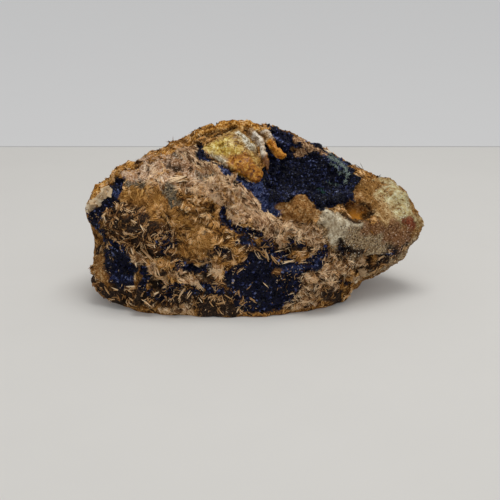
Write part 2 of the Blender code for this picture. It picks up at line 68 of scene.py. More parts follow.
# What lies where on the rock: for each region how soft its edge is and how far the
# edge wanders, then its strokes. A stroke is its half width in millimetres, then
# across, down, across, down along it in the front view, which is FRAME_SIDE wide.
REGIONS = {
    "shoulder": (1.4, 1.6, (3.0, 134, 160, 150, 156, 168, 154, 186, 156),
        (3.2, 140, 168, 156, 166, 174, 166, 192, 164),
        (2.6, 128, 176, 150, 176, 176, 176, 200, 172)),
    "crusted": (1.2, 1.0,
        (1.7, 94, 196, 106, 184, 118, 172, 132, 163, 148, 154, 162, 151, 178, 146, 188, 141),
        (2.6, 190, 140, 200, 134, 214, 127, 228, 124, 244, 123, 262, 128)),
    "ridge": (1.2, 0.8,
        (2.7, 184, 148, 200, 156, 214, 164, 228, 176, 242, 190, 254, 206, 262, 220, 268, 232)),
    "pinkish": (
        1.6, 1.6, (2.8, 192, 184, 206, 184, 218, 193), (2.0, 218, 193, 230, 204, 240, 216),
        (1.6, 140, 180, 158, 182, 176, 180), (1.4, 146, 166, 153, 168),
        (2.8, 266, 224, 282, 227, 300, 230, 314, 237)),
    "pale": (0.9, 1.4, (3.0, 262, 228, 274, 231, 283, 239),
        (2.8, 296, 230, 306, 229, 315, 235, 319, 242), (2.0, 266, 222, 280, 224),
        (2.4, 328, 256, 336, 262, 346, 258, 358, 262, 366, 258),
        (3.6, 303, 276, 316, 274, 328, 280, 326, 288, 312, 290),
        (2.2, 290, 304, 302, 302, 314, 298), (2.4, 332, 272, 342, 272, 334, 290),
        (2.4, 134, 252, 140, 262, 150, 272, 160, 280), (2.0, 176, 274, 188, 280, 200, 282),
        # The stroke along the bottom front edge, from 150 to 190 across, is a painted highlight on
        # that lit edge.
        (1.6, 206, 262, 216, 270), (2.2, 150, 306, 168, 309, 190, 308),
        (1.4, 352, 263, 360, 259, 367, 262)),
    "dark": (
        1.4, 1.4, (2.8, 116, 210, 110, 220, 118, 236, 132, 240, 142, 230, 136, 214, 124, 208),
        (2.4, 124, 224, 132, 226), (3.6, 152, 230, 162, 234, 168, 242, 158, 250, 150, 242),
        (2.4, 100, 240, 108, 250), (4.6, 200, 298, 214, 303, 232, 303),
        (3.0, 236, 290, 250, 294), (2.8, 92, 286, 104, 294, 118, 302), (1.4, 98, 246, 94, 254),
        (3.0, 118, 292, 134, 298, 150, 298, 166, 300, 184, 298),
        (1.6, 160, 286, 152, 280, 164, 274), (1.3, 170, 256, 182, 260, 194, 260),
        (1.3, 210, 254, 222, 258, 230, 254), (1.6, 204, 276, 214, 282, 226, 282),
        (2.2, 290, 246, 300, 244, 309, 248), (2.2, 248, 248, 262, 252, 272, 258),
        (2.4, 324, 292, 330, 296, 338, 298), (1.2, 368, 269, 377, 270, 386, 265),
        (1.3, 340, 246, 350, 252, 362, 252), (1.7, 366, 266, 376, 265, 386, 262),
        (1.0, 354, 273, 364, 267), (0.9, 376, 272, 386, 268),
        (1.5, 388, 250, 398, 252, 406, 247), (0.8, 392, 256, 400, 256), (0.9, 174, 190, 172, 200)),
    "gritty": (2.4, 1.8, (4.6, 352, 182, 364, 186, 378, 190), (4.4, 372, 200, 384, 208, 398, 216),
        (1.5, 334, 206, 342, 213, 350, 222), (1.8, 350, 224, 366, 227, 388, 225, 404, 222),
        (1.6, 322, 208, 336, 206, 346, 203), (2.2, 296, 138, 306, 144, 318, 150),
        (3.0, 360, 176, 374, 184)),
    "greyish": (2.2, 1.8, (3.4, 324, 218, 334, 222, 340, 230, 332, 234),
        (4.6, 346, 232, 360, 240, 376, 240, 392, 240),
        (3.6, 340, 246, 356, 252, 372, 250, 390, 248, 402, 242),
        (1.8, 386, 263, 396, 259, 404, 252),
        (1.5, 374, 277, 386, 271, 397, 264, 407, 255, 413, 245), (2.0, 404, 240, 412, 242)),
    "greenish": (4.4, 2.6, (2.6, 391, 183, 398, 191, 405, 200, 412, 212),
        (2.8, 390, 200, 398, 203, 407, 212, 403, 218), (1.0, 419, 219, 421, 227)),
    "fawn": (3.0, 2.0, (2.6, 382, 200, 388, 208, 392, 216),
        (1.0, 350, 224, 362, 226, 380, 223, 396, 220), (1.4, 374, 214, 384, 218)),
    "knob": (1.6, 1.4, (3.0, 327, 216, 334, 220, 342, 229, 337, 235),
        (0.9, 344, 221, 352, 225, 362, 226)),
    "reddish": (2.4, 1.8, (2.2, 368, 228, 384, 227, 398, 230, 408, 236, 402, 246),
        (1.9, 408, 221, 413, 226), (2.6, 390, 236, 402, 242, 398, 250)),
    "orange": (1.0, 1.0, (2.5, 286, 203, 296, 200, 305, 203, 313, 210, 304, 217, 290, 215),
        (2.0, 347, 211, 354, 213, 361, 213), (1.4, 354, 204, 364, 205, 370, 208),
        (1.3, 296, 150, 304, 152), (2.2, 98, 262, 100, 270, 104, 276), (0.8, 276, 272, 280, 272),
        (1.8, 350, 186, 356, 192, 360, 198)),
    "golden": (3.0, 1.6, (3.4, 130, 192, 144, 196, 158, 204, 150, 212),
        (3.6, 194, 236, 208, 244, 200, 256), (2.4, 180, 222, 196, 226),
        (2.2, 226, 256, 240, 258), (1.6, 232, 196, 244, 210)),
    "azurite": (
        0.5, 0.9, (0.9, 207, 158, 218, 165, 228, 171), (2.0, 227, 169, 238, 177, 248, 186),
        (2.4, 246, 184, 254, 191, 262, 200, 270, 209), (2.6, 258, 184, 268, 195, 276, 207),
        (1.3, 222, 209, 226, 220, 233, 227, 246, 231, 260, 234), (1.4, 242, 240, 251, 242),
        (0.9, 264, 238, 270, 239), (1.5, 265, 246, 276, 250),
        (2.2, 118, 184, 115, 193, 108, 202),
        (2.2, 104, 205, 96, 213, 90, 217, 94, 226, 99, 236, 101, 246),
        (4.2, 112, 250, 122, 256, 128, 266, 118, 272, 124, 276),
        (1.3, 145, 264, 147, 275, 143, 284), (1.3, 158, 242, 166, 236, 172, 244, 163, 251),
        (1.3, 178, 264, 186, 268, 194, 270), (1.2, 198, 272, 206, 268),
        (1.6, 166, 290, 174, 286, 182, 288), (1.9, 190, 291, 204, 289, 218, 292),
        (1.3, 140, 270, 146, 278, 140, 288), (2.0, 104, 254, 110, 264, 112, 276),
        (1.2, 150, 292, 158, 298), (2.6, 252, 262, 262, 262, 272, 264),
        (1.8, 268, 250, 280, 253), (1.2, 292, 244, 304, 244),
        (1.5, 284, 264, 300, 266, 316, 258), (4.8, 240, 280, 256, 285, 270, 278, 284, 276),
        (4.2, 246, 300, 262, 301, 278, 298, 288, 286),
        (2.1, 284, 270, 296, 270, 308, 268, 320, 262, 322, 252), (1.0, 216, 250, 224, 252),
        (1.1, 338, 279, 344, 283, 351, 284), (0.9, 349, 262, 352, 264),
        (0.8, 340, 250, 346, 254), (1.0, 384, 255, 395, 254),
        (1.7, 199, 146, 203, 152, 206, 157), (2.8, 277, 130, 284, 136, 290, 144),
        (0.9, 293, 144, 299, 145), (2.6, 318, 150, 330, 156, 342, 164, 350, 171, 356, 175),
        (7.2, 282, 152, 300, 163, 322, 174, 336, 186),
        (5.2, 276, 176, 286, 194, 310, 196, 340, 194), (3.6, 268, 178, 270, 192, 276, 204),
        (1.4, 346, 194, 356, 196)),
    "bright": (1.2, 1.2, (1.7, 224, 168, 238, 179, 250, 190, 262, 201),
        (2.8, 256, 186, 262, 194, 272, 202, 280, 206, 268, 210),
        (0.8, 112, 276, 124, 278, 133, 277), (1.2, 112, 193, 120, 196),
        (0.8, 280, 192, 296, 195), (1.1, 338, 193, 350, 195),
        (1.4, 326, 154, 336, 160, 344, 166), (1.2, 278, 136, 288, 146),
        (1.2, 286, 270, 302, 268, 318, 262), (0.8, 386, 254, 394, 255),
        (0.7, 242, 241, 250, 242), (0.8, 223, 212, 226, 220)),
    "cream": (0.4, 0.6, (1.2, 99, 200, 104, 195, 110, 189), (1.2, 87, 210, 93, 205),
        (0.9, 354, 281, 361, 279, 367, 276)),
    "palerim": (0.4, 0.6, (0.7, 314, 148, 330, 151)),
    "spots": (0.8, 1.0, (1.2, 130, 183, 142, 185), (1.8, 168, 186, 172, 194, 176, 204),
        (1.2, 200, 174, 212, 178), (0.9, 174, 155, 180, 157)),
    # Painted shade: a dark line round the pocket's lip, deepest at its right end; the code also
    # sinks it.
    "rim": (0.6, 0.5, (1.0, 342, 212, 348, 218, 356, 220, 364, 219, 370, 216, 373, 211),
        (1.4, 365, 213, 371, 211), (0.6, 348, 206, 350, 208),
        (0.5, 352, 204, 362, 203, 370, 206), (0.6, 349, 220, 358, 222, 366, 220)),
    "pocket": (1.4, 0.6, (2.2, 348, 212, 356, 211, 367, 211)),
    "redspot": (1.0, 0.8, (2.0, 408, 220, 413, 226)),
    "ember": (1.0, 0.8, (1.7, 346, 212, 354, 214, 361, 213)),
    # Painted shade: dark lines in gaps and seams, such as under the crust and between the nodule
    # and the plates; the code also sinks them.
    "crevice_shade": (0.7, 0.6, (0.8, 224, 211, 230, 224, 240, 229, 258, 233),
        (0.7, 184, 270, 198, 268, 210, 264), (0.6, 262, 248, 276, 252, 288, 250),
        (0.6, 282, 256, 296, 266, 312, 262), (0.7, 136, 246, 150, 256, 164, 258),
        (0.7, 338, 240, 346, 250, 366, 258, 388, 258),
        (1.1, 200, 136, 214, 137, 228, 134, 234, 130), (0.8, 196, 142, 203, 150, 208, 157),
        (0.9, 249, 133, 253, 144, 257, 158), (0.9, 257, 132, 266, 144, 272, 154),
        (0.5, 190, 138, 204, 134, 222, 130, 236, 126, 250, 127), (0.5, 206, 128, 216, 125)),
}
# Single laths that lie across the dark seams: both ends, the width in
# millimetres and how pale each is.
SLIVERS = [
    (249, 236, 264, 243, 0.8, 0.75), (254, 250, 263, 263, 0.6, 0.75),
    (263, 250, 268, 261, 0.5, 0.6), (258, 247, 274, 246, 0.4, 0.6),
    (271, 254, 278, 263, 0.6, 0.7), (272, 255, 291, 248, 0.7, 0.8),
    (296, 237, 301, 244, 0.5, 0.9), (299, 238, 305, 243, 0.5, 0.75),
    (281, 263, 296, 260, 0.8, 0.8), (289, 262, 309, 262, 1.4, 0.65),
    (286, 259, 306, 257, 0.8, 0.75), (290, 255, 314, 254, 0.7, 0.7),
    (306, 257, 318, 252, 0.5, 0.8), (300, 255, 320, 249, 0.5, 0.6),
    (294, 252, 310, 251, 0.5, 0.7), (287, 297, 297, 291, 0.5, 0.7),
    (274, 272, 281, 274, 0.7, 0.45), (250, 298, 258, 303, 0.6, 0.5),
    (132, 247, 136, 258, 1.2, 0.85), (135, 256, 138, 267, 1.1, 0.75),
    (141, 248, 154, 260, 1.2, 0.6), (155, 266, 158, 277, 1.6, 0.8),
    (127, 288, 140, 286, 1.2, 0.75), (103, 215, 107, 227, 1.7, 0.8),
    (102, 239, 108, 249, 0.9, 0.75), (140, 224, 146, 232, 0.6, 0.8),
    (150, 243, 163, 246, 0.7, 0.7), (146, 245, 160, 251, 0.5, 0.5),
    (190, 278, 198, 287, 1.4, 0.8), (160, 289, 168, 283, 0.9, 0.7),
    (178, 298, 186, 288, 1.0, 0.75), (139, 299, 150, 307, 0.9, 0.75),
    (131, 297, 145, 305, 0.8, 0.7), (198, 296, 202, 304, 0.3, 0.7),
    (208, 299, 214, 306, 0.3, 0.7), (222, 298, 226, 306, 0.3, 0.7),
    (226, 293, 234, 298, 0.3, 0.75), (234, 279, 231, 285, 0.6, 0.8),
    (122, 208, 134, 213, 0.6, 0.7), (126, 233, 138, 236, 0.6, 0.6),
    (108, 232, 118, 238, 0.5, 0.6), (128, 218, 138, 226, 0.5, 0.7),
    (112, 214, 120, 222, 0.5, 0.65), (116, 240, 128, 243, 0.5, 0.6),
    (240, 262, 246, 256, 0.6, 0.7), (236, 272, 244, 267, 0.5, 0.6),
    (262, 282, 268, 288, 0.3, 0.7), (300, 303, 312, 300, 0.7, 0.75),
    (168, 264, 182, 258, 0.7, 0.65), (142, 258, 150, 265, 0.8, 0.7),
    (328, 258, 334, 268, 1.2, 0.8), (334, 266, 346, 262, 1.0, 0.7),
    (338, 270, 348, 264, 0.8, 0.75), (354, 268, 364, 262, 0.9, 0.65),
    (168, 181, 182, 178, 1.2, 1.0), (172, 179, 187, 176, 1.0, 1.0),
    (176, 182, 190, 178, 0.6, 0.9), (152, 296, 160, 292, 0.7, 0.75),
    (164, 302, 172, 296, 0.7, 0.7), (186, 300, 192, 292, 0.6, 0.7),
    (112, 288, 122, 292, 0.7, 0.6), (104, 286, 110, 294, 0.6, 0.6),
    (206, 276, 214, 272, 0.7, 0.7),
]
# Rings of laths on edge: the middle, the reach and how many.
ROSETTES = [(121, 224, 8.0, 170), (155, 238, 6.0, 110)]
# Where the outline steps in or, with a negative depth, out: a place, how wide and how deep.
DENTS = [
    (174, 146, 6, 1.7), (186, 142, 4, 1.0), (362, 171, 6, 1.8), (98, 241, 4.5, 2.2),
    (370, 281, 7, 2.6), (104, 182, 4.5, -1.4), (92, 284, 4.5, -1.2), (157, 152, 4, 0.8),
    (298, 207, 5.6, -0.7), (372, 262, 3, 0.8), (386, 262, 2.4, -0.8),
]


def sight(across, down):
    """The direction in which the front view sees a point of its frame."""
    half = FRAME_SIDE / 2
    ray = AHEAD + ACROSS * (across - half) / FOCAL + UPWARD * (half - down) / FOCAL
    return ray / np.linalg.norm(ray)


def pairs(path):
    return zip(path[::2], path[1::2])


# ----------------------------------------------------------- modelling tools
def only(obj):
    """Selects obj alone, and makes it the one that operators work on."""
    bpy.ops.object.select_all(action="DESELECT")
    obj.select_set(True)
    bpy.context.view_layer.objects.active = obj
    return obj


def modified(obj, kind, **settings):
    only(obj)
    modifier = obj.modifiers.new(kind.title(), kind)
    for name, value in settings.items():
        setattr(modifier, name, value)
    bpy.ops.object.modifier_apply(modifier=modifier.name)
    return obj


def copy_of(node, name):
    """A merged copy of a CAD node, which itself is left alone."""
    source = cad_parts[node]
    obj = bpy.data.objects.new(name, source.data.copy())
    obj.data.name = name
    obj.data.materials.clear()
    bpy.context.scene.collection.objects.link(obj)
    only(obj)
    bpy.ops.object.mode_set(mode="EDIT")
    bpy.ops.mesh.select_all(action="SELECT")
    bpy.ops.mesh.remove_doubles(threshold=1e-6)
    bpy.ops.mesh.normals_make_consistent(inside=False)
    bpy.ops.object.mode_set(mode="OBJECT")
    return obj


def shifted(obj, slide, swell=(1, 1, 1), middle=(0, 0, 0)):
    """Swells all of a piece about a middle, then slides it, in metres."""
    bpy.ops.object.mode_set(mode="EDIT")
    bpy.ops.mesh.select_all(action="SELECT")
    if swell != (1, 1, 1):
        bpy.ops.transform.resize(value=swell, center_override=tuple(middle))
    bpy.ops.transform.translate(value=tuple(slide))
    bpy.ops.object.mode_set(mode="OBJECT")


def points_of(obj):
    co = np.empty(len(obj.data.vertices) * 3, np.float32)
    obj.data.vertices.foreach_get("co", co)
    return co.reshape(-1, 3).astype(float) / MM


def normals_of(obj):
    turned = np.empty(len(obj.data.vertices) * 3, np.float32)
    obj.data.vertex_normals.foreach_get("vector", turned)
    return turned.reshape(-1, 3).astype(float)


def moved_to(obj, points):
    obj.data.vertices.foreach_set("co", (points * MM).astype(np.float32).ravel())
    obj.data.update()


def give(obj, name, values):
    """Writes a number for each point of a piece, which its material reads by name."""
    held = obj.data.attributes.new(name, "FLOAT", "POINT")
    held.data.foreach_set("value", np.asarray(values, np.float32))


# -------------------------------------------------------------------- noise
def scrambled(cells, seed):
    """An even number from 0 to 1 for each whole-numbered cell of space."""
    a, b, c = (cells[..., i].astype(np.int64) for i in range(3))
    mixed = (a * 73856093) ^ (b * 19349663) ^ (c * 83492791) ^ (seed * 40503 + 977)
    mixed = (mixed ^ (mixed >> 13)) * 1274126177
    mixed = (mixed ^ (mixed >> 16)) * 668265263
    return ((mixed ^ (mixed >> 15)) & 0xFFFFFF) / 0xFFFFFF


def rolling(points, size, seed):
    """Smooth noise from -1 to 1, with features about one size across."""
    at = points / size
    low = np.floor(at)
    part = at - low
    part = part * part * (3 - 2 * part)
    total = 0
    for corner in np.ndindex(2, 2, 2):
        step = np.array(corner)
        share = np.prod(np.where(step, part, 1 - part), axis=-1)
        total = total + share * scrambled(low + step, seed)
    return 2 * total - 1


def rough(points, size, seed, octaves=3):
    return sum(rolling(points, size / 2**i, seed + i) / 2**i for i in range(octaves))


def lumps(points, size, seed):
    """Distance to the nearest scattered cell middle, in sizes, and the cell's slanting face."""
    at = points / size
    low = np.floor(at)
    near = np.full(len(points), 9.0)
    owner = np.zeros(len(points))
    for step in np.ndindex(3, 3, 3):
        cell = low + np.array(step) - 1
        middle = cell + np.stack([scrambled(cell, seed + k) for k in (11, 23, 37)], -1)
        away = np.linalg.norm(at - middle, axis=-1)
        closer = away < near
        near = np.where(closer, away, near)
        slant = np.stack([scrambled(cell, seed + k) - 0.5 for k in (51, 67, 79)], -1)
        owner = np.where(closer, np.sum((at - middle) * slant, axis=-1), owner)
    return near, owner


def eased(low, high, value):
    part = np.clip((value - low) / (high - low), 0, 1)
    return part * part * (3 - 2 * part)


# ---------------------------------------------------------- a piece's surface
class Surface:
    """The triangles of a piece, for sowing crystals on it and for landing strokes on it."""

    def __init__(self, obj):
        mesh = obj.data
        mesh.calc_loop_triangles()
        faces = np.empty(len(mesh.loop_triangles) * 3, np.int32)
        mesh.loop_triangles.foreach_get("vertices", faces)
        self.points = points_of(obj)
        self.faces = faces.reshape(-1, 3)
        a, b, c = (self.points[self.faces[:, i]] for i in range(3))
        cross = np.cross(b - a, c - a)
        size = np.linalg.norm(cross, axis=1)
        self.areas = size / 2
        self.normals = cross / np.maximum(size, 1e-12)[:, None]
        self.tree = BVHTree.FromPolygons(self.points.tolist(), self.faces.tolist())

    def seen(self, across, down):
        """Where the view's line through a point of it lands, or the nearest stone inward."""
        for step in np.arange(0, 0.2, 0.005):
            inward = (at + step * (middle - at) for at, middle in zip((across, down), STONE_MIDDLE))
            hit = self.tree.ray_cast(Vector(EYE), Vector(sight(*inward)))[0]
            if hit is not None:
                return np.array(hit)
        return None

    def sown(self, rng, count, mask):
        """Random places, their normals and the points' numbers, denser where the mask is high."""
        chance = self.areas * mask[self.faces].mean(axis=1)
        chosen = rng.choice(len(self.faces), count, p=chance / chance.sum())
        share = rng.random((count, 2))
        over = share.sum(axis=1) > 1
        share[over] = 1 - share[over]
        a, b, c = (self.points[self.faces[chosen, i]] for i in range(3))
        places = a + share[:, :1] * (b - a) + share[:, 1:] * (c - a)
        return places, self.normals[chosen], self.faces[chosen, 0]

    def laid(self, places):
        """The nearest points of the surface, their normals and the points' numbers."""
        spots, normals, faces, _ = zip(*(self.tree.find_nearest(Vector(p)) for p in places))
        return np.array(spots), np.array(normals), self.faces[list(faces), 0]


def stroked(points, surface, strokes, edge, wander):
    """How far inside the strokes each point lies, from 0 outside to 1, with a ragged edge."""
    shaken = points + wander * np.stack([rough(points, 2.4, SEED + 7 * k) for k in range(3)], -1)
    inside = np.zeros(len(points))
    for width, *path in strokes:
        landed = [surface.seen(*p) for p in pairs(path)]
        knots = [knot for knot in landed if knot is not None]
        away = np.full(len(points), 1e9)
        for a, b in zip(knots, knots[1:] or knots):
            along = b - a
            part = np.clip((shaken - a) @ along / max(along @ along, 1e-9), 0, 1)
            away = np.minimum(away, np.linalg.norm(shaken - a - part[:, None] * along, axis=1))
        inside = np.maximum(inside, eased(width + edge / 2, width - edge / 2, away))
    return inside


# ------------------------------------------------------------------ shading
class Reading:
    """A socket of a material. Sums on it add Math nodes."""

    def __init__(self, socket):
        self.socket = socket

    def node(self, kind, settings=None, values=None, out=0):
        """Adds a node beside this socket: its settings, then the values or links of its sockets."""
        tree = self.socket.id_data
        made = tree.nodes.new(kind)
        for name, value in (settings or {}).items():
            setattr(made, name, value)
        for name, value in (values or {}).items():
            socket = made.inputs[name]
            if isinstance(value, Reading):
                tree.links.new(value.socket, socket)
            elif isinstance(value, tuple) and len(value) == 3 and socket.type == "RGBA":
                socket.default_value = (*value, 1)
            else:
                socket.default_value = value
        return Reading(made.outputs[out])

    def sum(self, operation, first, second):
        return self.node("ShaderNodeMath", {"operation": operation}, {0: first, 1: second})

    def __add__(self, other):
        return self.sum("ADD", self, other)

    def __sub__(self, other):
        return self.sum("SUBTRACT", self, other)

    def __rsub__(self, other):
        return self.sum("SUBTRACT", other, self)

    def __mul__(self, other):
        return self.sum("MULTIPLY", self, other)

    __radd__ = __add__
    __rmul__ = __mul__

    def above(self, low, high):
        """0 below low, 1 above high."""
        return self.node(
            "ShaderNodeMapRange", {"interpolation_type": "SMOOTHSTEP"},
            {"Value": self, "From Min": low, "From Max": high},
        )

    def ramp(self, *stops):
        """A colour for this number. A stop is its place, then red, green and blue."""
        made = self.node("ShaderNodeValToRGB", {}, {"Fac": self})
        elements = made.socket.node.color_ramp.elements
        while len(elements) < len(stops):
            elements.new(0.5)
        for element, (place, *colour) in zip(elements, stops):
            element.position, element.color = place, (*colour, 1)
        return made

    def over(self, colour, mask):
        """This colour, covered by another where the mask is 1."""
        return self.node(
            "ShaderNodeMix", {"data_type": "RGBA"}, {6: self, 7: colour, 0: mask}, out=2)

    def under(self, place, *layers):
        """This colour under layers: each a mask's name, how far it covers and its colour."""
        colour = self
        for name, cover, shade in layers:
            colour = colour.over(shade, place.named(name) * cover)
        return colour

    def noise(self, size, detail=3.0, rough=0.6, twist=0.0):
        """Noise on this position, which is in millimetres, with features one size across."""
        return self.node("ShaderNodeTexNoise", {}, {
            "Vector": self, "Scale": 1 / size, "Detail": detail, "Roughness": rough,
            "Distortion": twist})

    def vector(self, operation, values, out=0):
        return self.node("ShaderNodeVectorMath", {"operation": operation}, values, out)

    def bundles(self, size, fibre):
        """Streaks one fibre wide that run a different way in each bundle of one size."""
        swirl = self.node("ShaderNodeTexNoise", {}, {"Vector": self, "Scale": 0.8, "Detail": 2}, 1)
        shaken = self.vector("MULTIPLY_ADD", {0: swirl, 1: (1.2, 1.2, 1.2), 2: self})
        cells = self.node("ShaderNodeTexVoronoi", {}, {"Vector": shaken, "Scale": 1 / size}, 1)
        way = self.vector("SUBTRACT", {0: cells, 1: (0.5, 0.5, 0.5)})
        way = self.vector("NORMALIZE", {0: way})
        along = self.vector("DOT_PRODUCT", {0: shaken, 1: way}, 1)
        return self.node("ShaderNodeTexNoise", {"noise_dimensions": "1D"}, {
            "W": along, "Scale": 1 / fibre, "Detail": 2, "Roughness": 0.6})

    def named(self, name):
        return self.node("ShaderNodeAttribute", {"attribute_name": name}, out=2)


class Finish:
    """One material being made: its place in millimetres and its shader."""

    def __init__(self, name, **constants):
        constants.setdefault("Specular_IOR_Level", 0.12)
        self.material = bpy.data.materials.new(name)
        self.material.use_nodes = True
        nodes = self.material.node_tree.nodes
        self.shader = next(n for n in nodes if n.type == "BSDF_PRINCIPLED")
        for socket, value in constants.items():
            self.shader.inputs[socket.replace("_", " ")].default_value = value
        object_place = Reading(nodes.new("ShaderNodeTexCoord").outputs["Object"])
        self.place = object_place.vector("SCALE", {0: object_place, "Scale": 1 / MM})

    def take(self, socket, reading):
        self.material.node_tree.links.new(reading.socket, self.shader.inputs[socket])

    def bumped(self, height, distance, strength):
        self.take("Normal", height.node("ShaderNodeBump", {}, {
            "Height": height, "Distance": distance * MM, "Strength": strength}))

    def on(self, *pieces):
        for piece in pieces:
            piece.data.materials.clear()
            piece.data.materials.append(self.material)


# ---------------------------------------------------------- maps for the bake
def boxed_map(obj):
    """A map of six sides, three by two, for a rough closed piece."""
    points = points_of(obj)
    low, high = points.min(axis=0), points.max(axis=0)
    out = (points - (low + high) / 2) / ((high - low) / 2)
    mesh = obj.data
    layer = mesh.uv_layers.new(name="OFBake")
    corners = np.empty(len(mesh.loops), np.int32)
    mesh.loops.foreach_get("vertex_index", corners)
    faces = np.repeat(np.arange(len(mesh.polygons)), [p.loop_total for p in mesh.polygons])
    middle = np.zeros((len(mesh.polygons), 3))
    np.add.at(middle, faces, out[corners])
    side = np.abs(middle).argmax(axis=1)
    sign = np.take_along_axis(middle, side[:, None], 1)[:, 0] > 0
    side, sign = side[faces], sign[faces]
    spot = out[corners]
    depth = np.maximum(np.abs(np.take_along_axis(spot, side[:, None], 1)[:, 0]), 0.3)
    one = np.take_along_axis(spot, ((side + 1) % 3)[:, None], 1)[:, 0] / depth
    two = np.take_along_axis(spot, ((side + 2) % 3)[:, None], 1)[:, 0] / depth
    cell = np.clip(np.stack([one, two], -1) * 0.47 + 0.5, 0, 1)
    uv = np.stack([(side + cell[:, 0]) / 3, (sign + cell[:, 1]) / 2], -1)
    layer.data.foreach_set("uv", uv.astype(np.float32).ravel())


# ---------------------------------------------------- small crystals, modelled
def edit_points(obj, chosen):
    """Selects in edit mode the points for which chosen(place) is true."""
    bpy.ops.object.mode_set(mode="EDIT")
    bpy.ops.mesh.select_mode(type="VERT")
    bpy.ops.mesh.select_all(action="DESELECT")
    body = bmesh.from_edit_mesh(obj.data)
    for point in body.verts:
        point.select_set(chosen(point.co))
    body.select_flush(True)
    bmesh.update_edit_mesh(obj.data)


def needle_form():
    """A needle one long and one across, pointed at both ends: six faces."""
    bpy.ops.mesh.primitive_cone_add(vertices=3, radius1=0.5, depth=0.6, location=(0, 0, 0.2))
    needle = bpy.context.active_object
    edit_points(needle, lambda at: at.z < 0.0)
    bpy.ops.mesh.select_mode(type="FACE")
    bpy.ops.mesh.poke()
    bpy.ops.object.mode_set(mode="OBJECT")
    centre = min(needle.data.vertices, key=lambda v: v.co.x**2 + v.co.y**2 + (v.co.z > 0.2))
    centre.co.z -= 0.4
    return needle


def blade_form(arch):
    """A lath one long, one wide and one thick, arched and narrowed to its ends."""
    bpy.ops.mesh.primitive_cube_add(size=1)
    blade = bpy.context.active_object
    bpy.ops.object.mode_set(mode="EDIT")
    for cut in (-0.2, 0.2):
        bpy.ops.mesh.select_all(action="SELECT")
        bpy.ops.mesh.bisect(plane_co=(0, 0, cut), plane_no=(0, 0, 1))
    bpy.ops.object.mode_set(mode="OBJECT")
    edit_points(blade, lambda at: abs(at.z) > 0.4)
    bpy.ops.transform.resize(value=(0.35, 0.8, 1))
    edit_points(blade, lambda at: abs(at.z) < 0.3)
    bpy.ops.transform.translate(value=(0, arch, 0))
    bpy.ops.object.mode_set(mode="OBJECT")
    return blade


def block_form():
    """A stubby crystal with a slanting, narrowed top: twelve triangles."""
    bpy.ops.mesh.primitive_cube_add(size=1)
    block = bpy.context.active_object
    edit_points(block, lambda at: at.z > 0.4)
    bpy.ops.transform.resize(value=(0.45, 0.8, 1))
    bpy.ops.transform.translate(value=(0.14, 0, 0))
    bpy.ops.object.mode_set(mode="OBJECT")
    return block


def grain_form():
    """A rough grain of twenty faces."""
    bpy.ops.mesh.primitive_ico_sphere_add(subdivisions=1, radius=0.5)
    grain = bpy.context.active_object
    bpy.ops.object.mode_set(mode="EDIT")
    bpy.ops.mesh.select_all(action="SELECT")
    bpy.ops.transform.vertex_random(offset=0.12, seed=SEED)
    bpy.ops.object.mode_set(mode="OBJECT")
    return grain


def joined_copies(name, form, places, axes, sizes, tones, **readings):
    """One piece of many copies of a form, which goes. Each copy is turned, sized and
    toned on its own, and takes its own value of any other reading."""
    shape = np.array([v.co for v in form.data.vertices])
    faces = [list(p.vertices) for p in form.data.polygons]
    bpy.data.objects.remove(form)
    count, step = len(places), len(shape)
    points = np.einsum("vk,nk,nkj->nvj", shape, sizes, axes) + places[:, None]
    mesh = bpy.data.meshes.new(name)
    mesh.from_pydata(
        (points.reshape(-1, 3) * MM).tolist(), [],
        [[v + step * i for v in face] for i in range(count) for face in faces],
    )
    obj = bpy.data.objects.new(name, mesh)
    bpy.context.scene.collection.objects.link(obj)
    for reading, values in {"tone": tones, **readings}.items():
        give(obj, reading, np.repeat(values, step))
    side = math.ceil(math.sqrt(count))
    number = np.arange(count)
    flat = shape[:, [2, 0]] + 0.23 * shape[:, [1, 1]] + (0, 0.11) * shape[:, [2, 2]]
    flat = (flat - flat.min(axis=0)) / (flat.max(axis=0) - flat.min(axis=0)) * 0.8 + 0.1
    corner = np.stack([number % side, number // side], -1)
    uv = (corner[:, None] + flat[None]) / side
    layer = mesh.uv_layers.new(name="OFBake")
    corners = np.empty(len(mesh.loops), np.int32)
    mesh.loops.foreach_get("vertex_index", corners)
    layer.data.foreach_set("uv", uv.reshape(-1, 2)[corners].astype(np.float32).ravel())
    return obj


def unit(vectors):
    return vectors / np.maximum(np.linalg.norm(vectors, axis=-1, keepdims=True), 1e-9)


def across_from(normals, rng):
    """A random direction lying in the surface at each place."""
    return unit(np.cross(normals, unit(rng.normal(size=normals.shape))))


def sheaves(surface, rng, mask, count, each, spread, lift, lengths, tones=0.5, grain=None):
    """Blades or needles that fan out in sheaves over a surface, or along one grain:
    their places, ways, normals, lengths and tones."""
    hearts, normals, _ = surface.sown(rng, count, mask)
    main = across_from(normals, rng)
    if grain is not None:
        main = grain + 0.3 * main
        main = unit(main - normals * np.sum(main * normals, axis=1, keepdims=True))
    hearts, normals, main = (np.repeat(v, each, axis=0) for v in (hearts, normals, main))
    side = np.cross(normals, main)
    angle = rng.normal(0, spread, len(hearts))[:, None]
    way = np.cos(angle) * main + np.sin(angle) * side
    long = rng.uniform(*lengths, len(hearts)) * (0.45 + 0.55 * eased(0.0, 0.45, -normals @ AHEAD))
    gone = long * 0.4 + rng.random(len(hearts)) * lengths[0] * 0.8
    shift = side * rng.normal(0, 0.25, len(hearts))[:, None]
    places, normals, owners = surface.laid(hearts + way * gone[:, None] + shift)
    way = unit(way - normals * np.sum(way * normals, axis=1, keepdims=True))
    tilt = rng.normal(lift, 0.12, len(hearts))[:, None]
    way = unit(way * np.cos(tilt) + normals * np.sin(tilt))
    own, shared = rng.random(len(hearts)) - 0.5, np.repeat(rng.random(count), each) - 0.5
    tone = np.clip(0.5 + own * tones + shared * 1.6 * (1 - tones), 0, 1)
    keep = rng.random(len(hearts)) < mask[owners] * 1.4
    return [v[keep] for v in (places, way, normals, long, tone, owners)]


